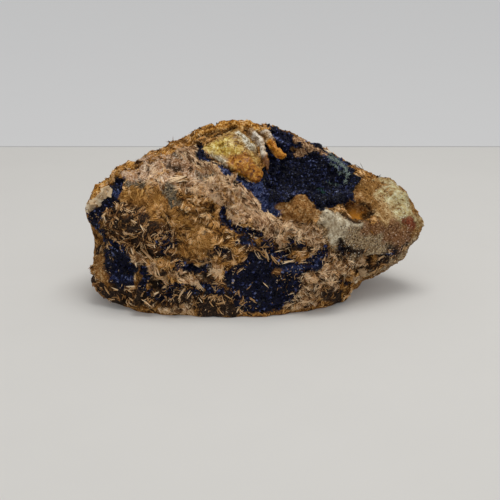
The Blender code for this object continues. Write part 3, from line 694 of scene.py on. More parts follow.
def framed(way, normals, rng, roll):
    """Three axes for each copy, width, thickness and length, rolled about its length."""
    flat = unit(np.cross(normals, way))
    turn = rng.normal(0, 1, len(way))[:, None] * roll if np.isscalar(roll) else roll[:, None]
    width = np.cos(turn) * flat + np.sin(turn) * unit(np.cross(way, flat))
    return np.stack([width, unit(np.cross(way, width)), way], 1)


def sized(rng, count, *spans):
    """The width, thickness and length of each copy: drawn from a span, or already known."""
    return np.stack(
        [rng.uniform(*span, count) if isinstance(span, tuple) else span for span in spans], -1)


# ================================================================ the stone
SHELL_VOXEL, BED_VOXEL, NODULE_VOXEL, PLATE_VOXEL = 0.54, 0.42, 0.3, 0.22
# Sheets of rock behind the hollow's crust, each one layer further along the slide.
BACKING_SLIDE = (0.2, 0.6, -1.0)
BACKING_LAYERS = (0.9, 2.0, 3.2)
TIP = (38, 45)
SEAMS_END = (34, 27)
UPPER = (12, 18)
LOWEST = 0.02


def greatest(masks, names):
    return np.maximum.reduce([masks[name] for name in names.split()])


def make_shell():
    """The matrix of the specimen, remeshed finely and painted with its regions."""
    shell = copy_of("host_rock", "matrix_shell")
    for layer in BACKING_LAYERS:
        backing = copy_of("azurite_druse", "backing")
        shifted(backing, [layer * MM * way for way in BACKING_SLIDE])
        only(shell)
        backing.select_set(True)
        bpy.ops.object.join()
    modified(shell, "REMESH", mode="VOXEL", voxel_size=SHELL_VOXEL * MM)
    modified(shell, "SMOOTH", factor=0.6, iterations=8)
    points, normals, plain = points_of(shell), normals_of(shell), Surface(shell)
    masks = {name: stroked(points, plain, strokes, edge, wander)
             for name, (edge, wander, *strokes) in REGIONS.items()}
    masks["azurite"] *= 1 - masks["orange"]

    # The hidden sides: the same rock, quieter, with seams and pale clumps of their own.
    hidden = eased(0.02, 0.4, normals @ AHEAD + 0.1 * rough(points, 6, 5))
    hidden *= 1 - greatest(masks, "gritty greenish azurite crusted")
    seams = eased(0.20, 0.32, rough(points, 13, 71)) * hidden * eased(*SEAMS_END, points[:, 0])
    masks["azurite"] = np.maximum(masks["azurite"], seams)
    for name, low, high, size, seed in (
        ("shoulder", 0.1, 0.4, 16, 83), ("crusted", 0.2, 0.5, 11, 97), ("pale", 0.25, 0.5, 8, 131),
    ):
        patches = eased(low, high, rough(points, size, seed)) * hidden
        masks[name] = np.maximum(masks[name], patches)
    tip = eased(*TIP, points[:, 0] + rough(points, 5, 113) * 2)
    upper = eased(*UPPER, points[:, 2] + rough(points, 5, 115) * 2)
    masks["greenish"] = np.maximum(masks["greenish"], tip * upper * hidden * 0.8)
    masks["gritty"] = np.maximum(masks["gritty"], tip)
    masks["crusted"] *= 1 - tip
    masks["open"] = eased(-0.75, -0.3, normals[:, 2]) * eased(-0.97, -0.8, normals[:, 0])

    # Painted shade: pits, sunk into the surface and darkened near black where shade falls in them.
    masks["pits"] = eased(0.42, 0.72, rough(points, 3.4, 101) + 0.25 * rough(points, 14, 103))
    masks["pits"] *= 1 - greatest(
        masks, "gritty greyish greenish crusted cream reddish golden orange fawn pinkish")
    # Painted shade: a network of creases, sunk and darkened where shade falls in them.
    crease_shade = eased(0.13, 0.02, np.abs(rough(points, 3.6, 37, 2))) * (1 - masks["greenish"])
    crease_shade *= eased(-0.3, 0.3, rough(points, 7, 39))
    crease_shade = crease_shade * (1 - 0.7 * masks["gritty"]) * (1 - 0.7 * masks["greyish"])
    crease_shade = crease_shade * (1 - masks["golden"])
    crease_shade *= (1 - 0.6 * masks["pinkish"]) * (1 - masks["orange"]) * (1 - 0.6 * hidden)
    masks["crease_shade"] = crease_shade

    cell, grit = lumps(points, 1.5, 3)[0], lumps(points, 0.9, 17)[0]
    rise = 0.45 * rough(points, 3.2, 29) + 0.30 * (0.55 - cell) + 0.12 * rough(points, 0.9, 31, 2)
    rise -= 0.35 * masks["crease_shade"]
    rise += masks["shoulder"] * 0.16 * (0.5 - grit) + masks["gritty"] * 0.3 * (0.5 - grit)
    rise -= (0.55 * masks["azurite"] + 1.1 * masks["crevice_shade"] + 0.5 * masks["rim"]
             + 0.8 * masks["pits"])
    rise += (0.8 * masks["crusted"] * (rough(points, 2.8, 47) + 0.6 * (0.55 - cell))
             - 0.2 * masks["dark"])
    rise += 1.1 * masks["orange"] * rough(points, 2.6, 45, 3)
    rise += 0.45 * masks["azurite"] * rough(points, 2.2, 43, 2)
    rise += 0.35 * masks["cream"] + 0.35 * masks["pale"] * (0.3 + rough(points, 1.8, 41, 2))
    rise -= 2.2 * masks["pocket"]
    for across, down, reach, depth in DENTS:
        away = np.linalg.norm(points - plain.seen(across, down), axis=1)
        rise -= depth * np.exp(-(away / reach) ** 2)
    points = points + normals * (rise * eased(0.4, 2.0, points[:, 2]))[:, None]
    points[:, 2] = np.maximum(points[:, 2], LOWEST)
    moved_to(shell, points)
    for name, mask in masks.items():
        give(shell, name, mask)
    for polygon in shell.data.polygons:
        polygon.use_smooth = True
    boxed_map(shell)
    return shell, masks


def shell_finish():
    finish = Finish("felted_matrix", Roughness=0.85)
    at = finish.place
    fine, middle, broad = at.noise(0.5, 4), at.noise(1.6, 4), at.noise(5.0, 3)
    speck = at.noise(0.35, 2, 0.8)
    streak = at.bundles(2.6, 0.45) * 0.65 + fine * 0.35
    gritty, clayey = fine * 0.6 + middle * 0.4, middle * 0.6 + fine * 0.4
    felt = (streak * 0.8 + middle * 0.2).ramp(
        (0.40, 0.010, 0.005, 0.003), (0.47, 0.17, 0.066, 0.013), (0.56, 0.46, 0.225, 0.058),
        (0.66, 0.76, 0.47, 0.19))
    cream = fine.ramp((0.34, 0.55, 0.40, 0.25), (0.6, 0.92, 0.80, 0.62))
    navy = fine.ramp(
        (0.34, 0.003, 0.003, 0.005), (0.55, 0.004, 0.005, 0.022), (0.75, 0.016, 0.018, 0.05))
    bright_blue = (0.055, 0.08, 0.21)
    colour = felt.under(
        at,
        ("golden", 0.8, streak.ramp(
            (0.38, 0.12, 0.045, 0.009), (0.48, 0.34, 0.155, 0.032), (0.62, 0.62, 0.35, 0.11))),
        ("shoulder", 1, (fine * 0.6 + middle * 0.2 + broad * 0.2).ramp(
            (0.36, 0.07, 0.032, 0.013), (0.46, 0.40, 0.21, 0.10), (0.55, 0.62, 0.43, 0.29),
            (0.66, 0.86, 0.74, 0.60))),
        ("crusted", 1, gritty.ramp(
            (0.39, 0.022, 0.009, 0.002), (0.46, 0.30, 0.110, 0.012), (0.54, 0.60, 0.29, 0.055),
            (0.63, 0.86, 0.68, 0.36))),
        ("pinkish", 1, streak.ramp(
            (0.36, 0.14, 0.060, 0.028), (0.44, 0.60, 0.36, 0.20), (0.52, 0.84, 0.62, 0.42),
            (0.62, 1.0, 0.86, 0.68))),
        ("ridge", 1, streak.ramp(
            (0.36, 0.14, 0.062, 0.026), (0.44, 0.40, 0.24, 0.12), (0.52, 0.62, 0.43, 0.25),
            (0.62, 0.88, 0.68, 0.44))),
        ("pale", 1, streak.ramp(
            (0.38, 0.08, 0.034, 0.012), (0.46, 0.42, 0.22, 0.085), (0.54, 0.66, 0.43, 0.22),
            (0.64, 0.90, 0.70, 0.46))),
        ("gritty", 1, gritty.ramp(
            (0.36, 0.06, 0.024, 0.004), (0.50, 0.24, 0.110, 0.026), (0.66, 0.44, 0.26, 0.09))),
        ("fawn", 0.9, gritty.ramp(
            (0.36, 0.16, 0.07, 0.018), (0.48, 0.46, 0.29, 0.12), (0.62, 0.74, 0.60, 0.36))),
        ("greyish", 1, (fine * 0.55 + middle * 0.3 + speck * 0.15).ramp(
            (0.40, 0.03, 0.016, 0.008), (0.48, 0.25, 0.160, 0.082), (0.55, 0.46, 0.345, 0.20),
            (0.63, 0.74, 0.62, 0.42))),
        ("knob", 1, clayey.ramp(
            (0.38, 0.26, 0.19, 0.11), (0.5, 0.54, 0.45, 0.31), (0.62, 0.78, 0.72, 0.56))),
        ("greenish", (middle * 0.5 + fine * 0.2 + broad * 0.3).above(0.36, 0.50), clayey.ramp(
            (0.36, 0.34, 0.21, 0.075), (0.48, 0.54, 0.44, 0.21), (0.56, 0.64, 0.60, 0.36),
            (0.66, 0.78, 0.78, 0.58))),
        ("reddish", 0.9, fine.ramp(
            (0.36, 0.06, 0.022, 0.007), (0.52, 0.22, 0.090, 0.034), (0.66, 0.44, 0.26, 0.13))),
        ("redspot", 0.9, fine.ramp((0.36, 0.07, 0.014, 0.006), (0.6, 0.26, 0.062, 0.026))),
        ("dark", 1, fine.ramp(
            (0.40, 0.008, 0.006, 0.006), (0.58, 0.045, 0.026, 0.016), (0.72, 0.24, 0.13, 0.07))),
        ("orange", 0.9, (fine * 0.5 + middle * 0.5).ramp(
            (0.38, 0.05, 0.022, 0.008), (0.46, 0.22, 0.090, 0.022), (0.53, 0.37, 0.19, 0.062),
            (0.62, 0.60, 0.43, 0.23))),
        ("ember", 0.9, (0.66, 0.27, 0.03)),
        ("spots", 0.8, fine.ramp(
            (0.40, 0.02, 0.02, 0.018), (0.52, 0.10, 0.095, 0.07), (0.64, 0.26, 0.24, 0.18))),
        ("rim", 0.9, (0.02, 0.012, 0.008)),
    ).over(cream, at.named("cream") + at.named("palerim")).under(
        at,
        # Painted shade: crevices, pits and creases darkened near black where shade falls in them.
        ("crevice_shade", 0.85, (0.014, 0.010, 0.008)),
        ("pits", 0.9, (0.010, 0.006, 0.004)),
        ("crease_shade", 0.8, (0.016, 0.008, 0.004)),
        ("azurite", 1, navy.under(at, ("bright", speck.above(0.36, 0.62), bright_blue))),
    )
    finish.take("Base Color", colour)
    finish.take("Roughness", 0.9 - at.named("azurite") * 0.35 - at.named("greenish") * 0.4)
    finish.bumped(streak * 0.7 + fine * 0.3, 0.5, 0.9)
    return finish


def tone_finish(name, stops, roughness=0.8, gloss=0.12):
    """A finish whose colour goes by each copy's own tone, with fine streaks on it."""
    finish = Finish(name, Roughness=roughness, Specular_IOR_Level=gloss)
    at = finish.place
    streak = at.noise(0.35, 3, 0.7)
    finish.colour = (at.named("tone") + (streak - 0.5) * 0.35).ramp(*stops)
    finish.take("Base Color", finish.colour)
    return finish


FELT_SHEAVES = {"count": 2050, "each": 22, "spread": 0.24, "lift": 0.03,
                "lengths": (1.3, 3.2), "tones": 0.45}
RIDGE_SHEAVES = {"count": 130, "each": 22, "spread": 0.06, "lift": 0.0,
                 "lengths": (1.4, 3.4), "tones": 0.5}
RIDGE_ENDS = ((190, 152), (254, 208))
FELT_STOPS = (
    (0.12, 0.016, 0.007, 0.003), (0.30, 0.16, 0.062, 0.014), (0.48, 0.50, 0.235, 0.056),
    (0.68, 0.78, 0.45, 0.15), (0.90, 0.98, 0.72, 0.42))
CREAM_FELT_STOPS = (
    (0.12, 0.045, 0.020, 0.009), (0.32, 0.36, 0.18, 0.08), (0.58, 0.76, 0.49, 0.27),
    (0.88, 0.97, 0.79, 0.56))


def sow_needles(surface, masks):
    """The felt of fine needles over the face, fanning out in sheaves."""
    rng = np.random.default_rng(SEED)
    _, deep, high = surface.points.T
    bare = greatest(
        masks, "azurite gritty greyish greenish reddish orange cream rim fawn knob spots")
    felt = np.clip(1 - bare, 0, 1) * (1 - masks["dark"]) * (1 - 0.7 * masks["crusted"])
    felt *= (1 - 0.7 * masks["shoulder"]) * (1 - 0.9 * masks["pits"]) * (1 - 0.6 * masks["crease_shade"])
    shown = eased(16, 4, deep + 0.3 * high)
    felt = felt * (0.45 + 0.55 * shown) * eased(1.2, 2.6, high) * masks["open"]
    felt *= (1 - 0.6 * masks["ridge"]) * (1 - masks["bright"])
    ridge = masks["ridge"] * (1 - masks["azurite"]) * (1 - masks["bright"])
    start, end = (surface.seen(*at) for at in RIDGE_ENDS)
    sown = sheaves(surface, rng, felt, **FELT_SHEAVES)
    crest = sheaves(surface, rng, ridge, grain=unit(end - start), **RIDGE_SHEAVES)
    places, way, normals, length, tone, owners = (np.concatenate(p) for p in zip(sown, crest))
    golden, pinkish = masks["golden"][owners], masks["pinkish"][owners]
    sizes = sized(rng, len(places), (0.13, 0.28), (0.12, 0.22), length)
    sizes *= 1 - 0.38 * golden[:, None]
    axes = framed(way, normals, rng, 0.5)
    tone += (0.55 - tone) * 0.35 * golden
    tone = np.clip(tone - 0.06 * masks["ridge"][owners] + 0.14 * pinkish, 0, 1)
    cream = np.clip(masks["ridge"] + masks["pinkish"] + masks["pale"], 0, 1)[owners]
    felt = joined_copies(
        "felt_needles", needle_form(), places + normals * 0.1, axes, sizes, tone, cream=cream)
    finish = tone_finish("felt_needles", FELT_STOPS)
    at = finish.place
    pale = at.named("tone").ramp(*CREAM_FELT_STOPS)
    finish.take("Base Color", finish.colour.over(pale, at.named("cream")))
    finish.on(felt)
    return felt


LATH_SHEAVES = {"count": 1150, "each": 20, "spread": 0.24, "lift": 0.08,
                "lengths": (1.8, 4.4), "tones": 0.35}
LATH_STOPS = (
    (0.06, 0.018, 0.008, 0.004), (0.26, 0.20, 0.085, 0.026), (0.48, 0.60, 0.34, 0.135),
    (0.84, 0.98, 0.76, 0.50))


def sow_laths(surface, masks):
    """The larger tan laths of the clumps and the foot, lying in fans."""
    rng = np.random.default_rng(SEED + 1)
    high = surface.points[:, 2]
    mask = np.clip(masks["pale"] * 1.2 + masks["pinkish"] * 0.6, 0, 1) * (1 - masks["ridge"])
    mask = mask * (1 - masks["azurite"]) * (1 - masks["shoulder"]) * (1 - 0.7 * masks["pits"])
    mask = mask * (1 - masks["dark"])
    low = eased(14, 6, high) * 0.09 * (1 - masks["azurite"]) * (1 - masks["greyish"])
    low = low * (1 - masks["dark"])
    mask = np.maximum(mask, low) * eased(1.6, 3.2, high) * masks["open"]
    places, way, normals, length, tone, owners = sheaves(surface, rng, mask, **LATH_SHEAVES)
    tone = np.clip(tone + 0.14 * masks["pinkish"][owners] - 0.08, 0, 1)
    sizes = sized(rng, len(places), (0.14, 0.34), (0.1, 0.18), length)
    return joined_copies("tan_laths", needle_form(), places + normals * 0.15,
                         framed(way, normals, rng, 0.7), sizes, tone)


EDGE_SHEAVES = {"count": 260, "each": 6, "spread": 0.3, "lift": 0.05,
                "lengths": (1.1, 3.2), "tones": 0.6}
UPRIGHT = math.pi / 2


def sow_edges(surface, masks):
    """Laths that stand on edge in the rosettes, the grooves and the dark foot."""
    rng = np.random.default_rng(SEED + 2)
    _, deep, high = surface.points.T
    mask = np.clip(masks["dark"] + 0.03 * masks["azurite"] * eased(30, 20, high), 0, 1)
    mask = mask * eased(1.4, 3.0, high) * eased(8, 2, deep) * masks["open"]
    places, way, normals, length, tone, _ = sheaves(surface, rng, mask, **EDGE_SHEAVES)
    roll = rng.normal(UPRIGHT, 0.2, len(places))
    width = rng.uniform(0.18, 0.42, len(places))
    laths = [(places, way, normals, length, width, roll, tone * 0.75)]
    for across, down, spread, number in ROSETTES:
        heart, normal, _ = surface.laid([surface.seen(across, down)])
        side = unit(np.cross(normal, (0, 0, 1.0)))
        turn = rng.uniform(0, 2 * math.pi, number)[:, None]
        out = np.cos(turn) * side + np.sin(turn) * np.cross(normal, side)
        ring = spread * np.sqrt(rng.uniform(0.04, 1, number))
        spots, lifted, _ = surface.laid(heart + out * ring[:, None])
        around = unit(np.cross(lifted, out) + out * rng.normal(0, 0.32, number)[:, None])
        long, wide = rng.uniform(1.4, 3.8, number), rng.uniform(0.14, 0.36, number)
        lean = rng.normal(UPRIGHT, 0.15, number)
        shade = np.where(rng.random(number) < 0.32, 0.66, 0.25) * rng.random(number) ** 0.4
        laths.append((spots, around, lifted, long, wide, lean, shade))
    places, way, normals, length, width, roll, tone = map(np.concatenate, zip(*laths))
    sizes = sized(rng, len(places), width, (0.1, 0.2), length)
    return joined_copies("standing_laths", blade_form(1.8), places + normals * 0.05,
                         framed(way, normals, rng, roll), sizes, tone)


LEAF_WIDTH, LEAF_STEP, LEAF_THICK = 0.45, 0.42, 0.2


def lay_slivers(surface):
    """The laths that lie across the dark seams, each a few thin leaves side by side."""
    rng = np.random.default_rng(SEED + 3)
    laid = []
    for *ends, wide, pale in SLIVERS:
        a, b = (surface.seen(*end) for end in pairs(ends))
        middle, lifted, _ = surface.laid([(a + b) / 2])
        middle, lifted, long = middle[0], lifted[0], np.linalg.norm(b - a)
        way, leaves = unit(b - a), math.ceil(wide / LEAF_WIDTH)
        side = unit(np.cross(lifted, way))
        for leaf in range(leaves):
            slide = (leaf - (leaves - 1) / 2) * LEAF_STEP + rng.normal(0, 0.06)
            slip = rng.normal(0, 0.08) * long
            laid.append((
                middle + side * slide + way * slip + lifted * rng.uniform(0.1, 0.35),
                unit(way + side * rng.normal(0, 0.1)), lifted,
                (0.8 * wide / leaves, LEAF_THICK, long * rng.uniform(0.7, 1.0)),
                np.clip(pale - 0.1 + rng.normal(0, 0.12), 0, 1)))
    middles, ways, lifts, sizes, tones = map(np.array, zip(*laid))
    return joined_copies("seam_slivers", blade_form(0.6), middles,
                         framed(ways, lifts, rng, 0.35), sizes, tones)


BLOCKS = 70
BLOCK_STOPS = ((0.05, 0.28, 0.17, 0.085), (0.5, 0.55, 0.40, 0.24), (0.95, 0.74, 0.63, 0.45))


def sow_blocks(surface, masks):
    """The pale angular blocks that sit at the left corner and under the right end."""
    rng = np.random.default_rng(SEED + 9)
    places, normals, _ = surface.sown(rng, BLOCKS, masks["cream"])
    size = rng.uniform(0.9, 2.2, BLOCKS)
    way = unit(normals + unit(rng.normal(size=normals.shape)))
    axes = framed(way, across_from(normals, rng), rng, 0.5)
    sizes = size[:, None] * rng.uniform(0.7, 1.3, (BLOCKS, 3))
    blocks = joined_copies("cream_blocks", block_form(), places - 0.25 * size[:, None] * normals,
                           axes, sizes, rng.random(BLOCKS))
    tone_finish("cream_blocks", BLOCK_STOPS, 0.6).on(blocks)
    return blocks


FLECKS = 1000


def sow_flecks(surface, masks):
    """Tan and whitish needles strewn thinly over the dark seams."""
    rng = np.random.default_rng(SEED + 6)
    high = surface.points[:, 2]
    mask = (masks["azurite"] + 0.6 * masks["dark"]) * eased(34, 26, high)
    mask = mask * eased(1.0, 2.4, high) * eased(-0.2, 0.5, rough(surface.points, 4, 121))
    places, normals, _ = surface.sown(rng, FLECKS, mask)
    way = unit(across_from(normals, rng) + normals * rng.normal(0.15, 0.15, FLECKS)[:, None])
    sizes = sized(rng, FLECKS, (0.12, 0.34), (0.1, 0.25), (0.3, 1.1))
    tone = 0.1 + 0.8 * rng.random(FLECKS) ** 1.5
    return joined_copies("seam_flecks", needle_form(), places + normals * 0.4,
                         framed(way, normals, rng, 0.6), sizes, tone)


GRAINS = 7600


def sow_grains(surface, masks):
    """Sparkling grains of quartz and clay on the shoulder, the right end and the crust."""
    rng = np.random.default_rng(SEED + 4)
    mask = np.clip(masks["shoulder"] + masks["gritty"] + 0.9 * masks["greyish"]
                   + masks["reddish"] * 0.8 + 0.45 * masks["crusted"] + 0.5 * masks["orange"]
                   + 0.4 * masks["pinkish"] + 0.3 * masks["greenish"], 0, 1)
    mask = mask * (1 - masks["azurite"]) * (1 - masks["cream"])
    mask = mask * eased(0.8, 2.0, surface.points[:, 2])
    places, normals, owners = surface.sown(rng, GRAINS, mask)
    size = rng.uniform(0.22, 0.62, GRAINS) * rng.uniform(0.7, 1.1, GRAINS)
    sizes = size[:, None] * rng.uniform(0.6, 1.2, (GRAINS, 3))
    way = unit(rng.normal(size=normals.shape))
    tone = rng.random(GRAINS)
    readings = {name: masks[name][owners]
                for name in ("greyish", "greenish", "orange", "shoulder", "reddish")}
    grains = joined_copies("quartz_grains", grain_form(), places,
                           framed(way, across_from(way, rng), rng, 0.0), sizes, tone, **readings)
    finish = Finish("quartz_grains", Roughness=0.4)
    at = finish.place
    tone = at.named("tone")
    finish.take("Base Color", tone.ramp(
        (0.1, 0.07, 0.028, 0.006), (0.4, 0.24, 0.11, 0.026), (0.75, 0.38, 0.20, 0.06),
        (0.97, 0.74, 0.50, 0.24),
    ).under(
        at,
        ("greyish", 1, tone.ramp(
            (0.1, 0.05, 0.035, 0.025), (0.5, 0.24, 0.185, 0.13), (0.86, 0.46, 0.38, 0.28),
            (0.97, 0.86, 0.80, 0.68))),
        ("greenish", 1, tone.ramp((0.1, 0.38, 0.30, 0.16), (0.9, 0.78, 0.76, 0.58))),
        ("shoulder", 1, tone.ramp(
            (0.1, 0.10, 0.05, 0.02), (0.5, 0.38, 0.22, 0.12), (0.9, 0.72, 0.60, 0.48))),
        ("orange", 1, tone.ramp((0.1, 0.09, 0.035, 0.008), (0.9, 0.44, 0.22, 0.06))),
        ("reddish", 0.9, tone.ramp(
            (0.1, 0.09, 0.034, 0.012), (0.6, 0.28, 0.125, 0.055), (0.95, 0.66, 0.48, 0.36))),
    ))
    finish.on(grains)
    return grains


AZURITE_STOPS = (
    (0.0, 0.002, 0.002, 0.005), (0.35, 0.005, 0.006, 0.020), (0.6, 0.010, 0.013, 0.055),
    (0.8, 0.036, 0.050, 0.16), (1.0, 0.15, 0.18, 0.34))


def sow_azurite(surface, name, mask, bright, count, spread, seed):
    """Blocky azurite crystals standing on a surface."""
    rng = np.random.default_rng(SEED + seed)
    places, normals, owners = surface.sown(rng, count, mask)
    way = unit(normals + 0.75 * unit(rng.normal(size=normals.shape)))
    size = rng.uniform(*spread, count) * (0.7 + 0.6 * rng.random(count))
    sizes = size[:, None] * sized(rng, count, (0.5, 0.9), (0.6, 1.1), (0.8, 1.5))
    axes = framed(way, across_from(way, rng), rng, 0.0)
    patch = 0.18 * eased(0.1, 0.6, rough(surface.points, 3.5, 91))[owners]
    tone = np.clip(rng.random(count) ** 2.8 * 0.9 + patch + bright[owners] * 0.5, 0, 1)
    return joined_copies(name, block_form(), places + normals * 0.05, axes, sizes, tone)


# Tan rock that shows through the druse near the hollow's edge.
HOLLOW_TAN = [
    (1.7, 296, 138, 303, 142, 311, 147), (1.2, 297, 151, 304, 152), (0.7, 315, 149, 331, 153),
    (0.6, 284, 142, 290, 143),
]
OUT_OF_HOLLOW = np.array((0.34, -0.42, 0.84))
HOLLOW_CRYSTALS, SEAM_CRYSTALS = 10500, 9000


def make_hollow(rock):
    """The druse that lines the hollow: its own bed, then the crystals wherever it shows."""
    bed = copy_of("azurite_druse", "hollow_bed")
    modified(bed, "REMESH", mode="VOXEL", voxel_size=BED_VOXEL * MM)
    modified(bed, "SMOOTH", factor=0.5, iterations=4)
    points = points_of(bed)
    points += normals_of(bed) * (0.12 * rough(points, 1.2, 61))[:, None]
    moved_to(bed, points)
    surface = Surface(bed)
    edge, wander, *strokes = REGIONS["bright"]
    bright = stroked(points, surface, strokes, edge, wander)
    tan = stroked(points, surface, HOLLOW_TAN, 0.8, 1.0)
    give(bed, "tone", np.clip(0.12 + 0.1 * rough(points, 3, 63) + 0.4 * bright, 0, 1))
    give(bed, "tan", tan)
    boxed_map(bed)
    up = eased(0.1, 0.5, normals_of(bed) @ unit(OUT_OF_HOLLOW))
    under, lifted, _ = rock.laid(points)
    clear = eased(0.1, 0.5, np.sum((points - under) * lifted, axis=1))
    shown = np.maximum(up, clear) * (1 - tan)
    crystals = sow_azurite(
        surface, "hollow_crystals", shown, bright, HOLLOW_CRYSTALS, (0.26, 0.5), 5)
    finish = Finish("hollow_bed", Roughness=0.6)
    at = finish.place
    fine = at.noise(0.5, 3)
    finish.take("Base Color", (at.named("tone") + (fine - 0.5) * 0.3).ramp(*AZURITE_STOPS).under(
        at, ("tan", 1, fine.ramp(
            (0.38, 0.06, 0.024, 0.012), (0.5, 0.32, 0.165, 0.075), (0.62, 0.60, 0.41, 0.24)))))
    finish.on(bed)
    return bed, crystals


def make_quartz(node, name, voxel, lumpy, size, seed, swell, slide):
    """A rounded piece of quartz, swollen over its solid, with facets of about one size."""
    piece = copy_of(node, name)
    low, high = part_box(node)
    shifted(piece, [MM * way for way in slide], swell, (low + high) / 2)
    modified(piece, "REMESH", mode="VOXEL", voxel_size=voxel * MM)
    modified(piece, "SMOOTH", factor=0.5, iterations=4)
    points = points_of(piece)
    (cell, facet), (_, small) = lumps(points, size, seed), lumps(points, size * 0.45, seed + 1)
    rise = lumpy * (
        0.4 * rough(points, size, seed) + 0.5 * (0.5 - cell) + 3.8 * facet + 0.55 * small)
    rise += lumpy * 0.22 * rough(points, 1.2, seed + 2)
    moved_to(piece, points + normals_of(piece) * rise[:, None])
    boxed_map(piece)
    return piece


def stain(piece, stains, edge, wander):
    surface = Surface(piece)
    for name, strokes in stains.items():
        give(piece, name, stroked(surface.points, surface, strokes, edge, wander))


NODULE_STAINS = {
    "white": [(1.9, 238, 132, 245, 138, 251, 147), (1.4, 212, 158, 222, 162)],
    "yellow": [(2.6, 207, 154, 216, 147, 226, 143, 232, 146)],
    "orange": [(3.6, 236, 162, 246, 168, 254, 174, 260, 180)],
}
PLATE_STAINS = {
    "white": [(1.3, 255, 137, 259, 143, 262, 152), (0.45, 263, 130, 268, 131, 273, 137)],
    "rust": [(1.4, 263, 157, 266, 162, 268, 169)],
    "orange": [(2.2, 271, 145, 278, 150, 283, 157)],
}


def nodule_finish():
    finish = Finish("stained_quartz", Roughness=0.32, Specular_IOR_Level=0.35)
    at = finish.place
    cloud, fine = at.noise(1.8, 4, 0.65, 1.2), at.bundles(2.2, 0.5)
    mix = cloud * 0.7 + fine * 0.3
    finish.take("Base Color", mix.ramp(
        (0.38, 0.08, 0.030, 0.004), (0.5, 0.36, 0.18, 0.020), (0.62, 0.62, 0.46, 0.18),
    ).under(
        at,
        ("orange", 1, mix.ramp(
            (0.38, 0.06, 0.017, 0.002), (0.5, 0.33, 0.110, 0.006), (0.58, 0.54, 0.24, 0.020),
            (0.66, 0.70, 0.45, 0.12))),
        ("yellow", 1, mix.ramp(
            (0.38, 0.13, 0.060, 0.006), (0.48, 0.44, 0.26, 0.022), (0.56, 0.66, 0.50, 0.12),
            (0.66, 0.86, 0.80, 0.44))),
        ("white", 1, mix.ramp(
            (0.38, 0.12, 0.085, 0.042), (0.5, 0.38, 0.32, 0.21), (0.60, 0.78, 0.75, 0.64))),
    ))
    finish.bumped(fine * 0.7 + cloud * 0.3, 0.3, 0.5)
    return finish


def plate_finish(name):
    finish = Finish(name, Roughness=0.36, Specular_IOR_Level=0.3)
    at = finish.place
    cloud, fine = at.noise(1.8, 4, 0.65, 0.8), at.noise(0.5, 4, 0.7)
    mix = cloud * 0.5 + fine * 0.5
    finish.take("Base Color", mix.ramp(
        (0.38, 0.05, 0.020, 0.006), (0.5, 0.32, 0.175, 0.065), (0.62, 0.62, 0.47, 0.28),
    ).under(
        at,
        ("orange", 1, mix.ramp(
            (0.38, 0.13, 0.035, 0.002), (0.48, 0.50, 0.17, 0.008), (0.60, 0.80, 0.42, 0.06))),
        ("rust", 1, mix.ramp(
            (0.40, 0.05, 0.018, 0.006), (0.55, 0.22, 0.085, 0.025), (0.66, 0.42, 0.26, 0.13))),
        ("white", 1, mix.ramp(
            (0.38, 0.26, 0.17, 0.09), (0.47, 0.68, 0.59, 0.47), (0.56, 0.94, 0.90, 0.82))),
    ))
    finish.bumped(fine, 0.3, 0.8)
    return finish


# Tufts of malachite: half width, how many hairs, how pale, then the stroke.
MALACHITE = [
    (0.6, 200, 0.95, 328, 157, 337, 161, 344, 167, 348, 175, 345, 184),
    (0.8, 40, 0.15, 319, 189, 325, 195), (1.0, 40, 0.6, 330, 155, 338, 159),
    (0.4, 60, 0.75, 330, 163, 337, 167, 341, 175), (0.5, 24, 0.5, 326, 181, 340, 186),
]
MALACHITE_STOPS = (
    (0.1, 0.008, 0.06, 0.025), (0.3, 0.02, 0.075, 0.05), (0.55, 0.10, 0.15, 0.15),
    (0.85, 0.34, 0.42, 0.37))


def sow_malachite(surface):
    """Hair-fine malachite in the hollow: a pale crescent and a few green specks."""
    rng = np.random.default_rng(SEED + 8)
    spots, tones = [], []
    for width, number, tone, *path in MALACHITE:
        knots = np.array([surface.seen(*p) for p in pairs(path)])
        part = rng.random(number) * (len(knots) - 1)
        low = np.minimum(part.astype(int), len(knots) - 2)
        a, b = knots[low], knots[low + 1]
        spots.append(a + (b - a) * (part - low)[:, None] + rng.normal(0, width / 2, (number, 3)))
        tones.append(np.clip(rng.normal(tone, 0.15, number), 0, 1))
    places, normals, _ = surface.laid(np.concatenate(spots))
    way = unit(across_from(normals, rng) + 0.4 * normals)
    sizes = sized(rng, len(places), (0.1, 0.22), (0.08, 0.16), (0.6, 1.8))
    needles = joined_copies("malachite_needles", needle_form(), places + normals * 0.4,
                            framed(way, normals, rng, 0.5), sizes, np.concatenate(tones))
    tone_finish("malachite", MALACHITE_STOPS, 0.5).on(needles)
    return needles


# =================================================================== studio
GROUND_SIDE = 8
GROUNDS = (
    ("studio_floor", (0, 0, 0), (0.60, 0.594, 0.578), 0.07),
    ("studio_sheet", (0, 4.2, 0.0004), (0.16, 0.16, 0.16), 0.44),
)
GROUND_GLOW = (0.985, 0.99, 1, 1)
SKY, SKY_STRENGTH = (1, 0.985, 0.96, 1), 0.42
LAMPS = (
    ("overhead", (0.05, -0.02, 0.62), 0.34, 2.05),
    ("front_fill", (0.06, -0.62, 0.36), 0.9, 0.85),
)
LAMP_COLOUR = (1, 0.985, 0.955)
LAMP_AIM = (0, 0, 0.02)
SENSOR = 36


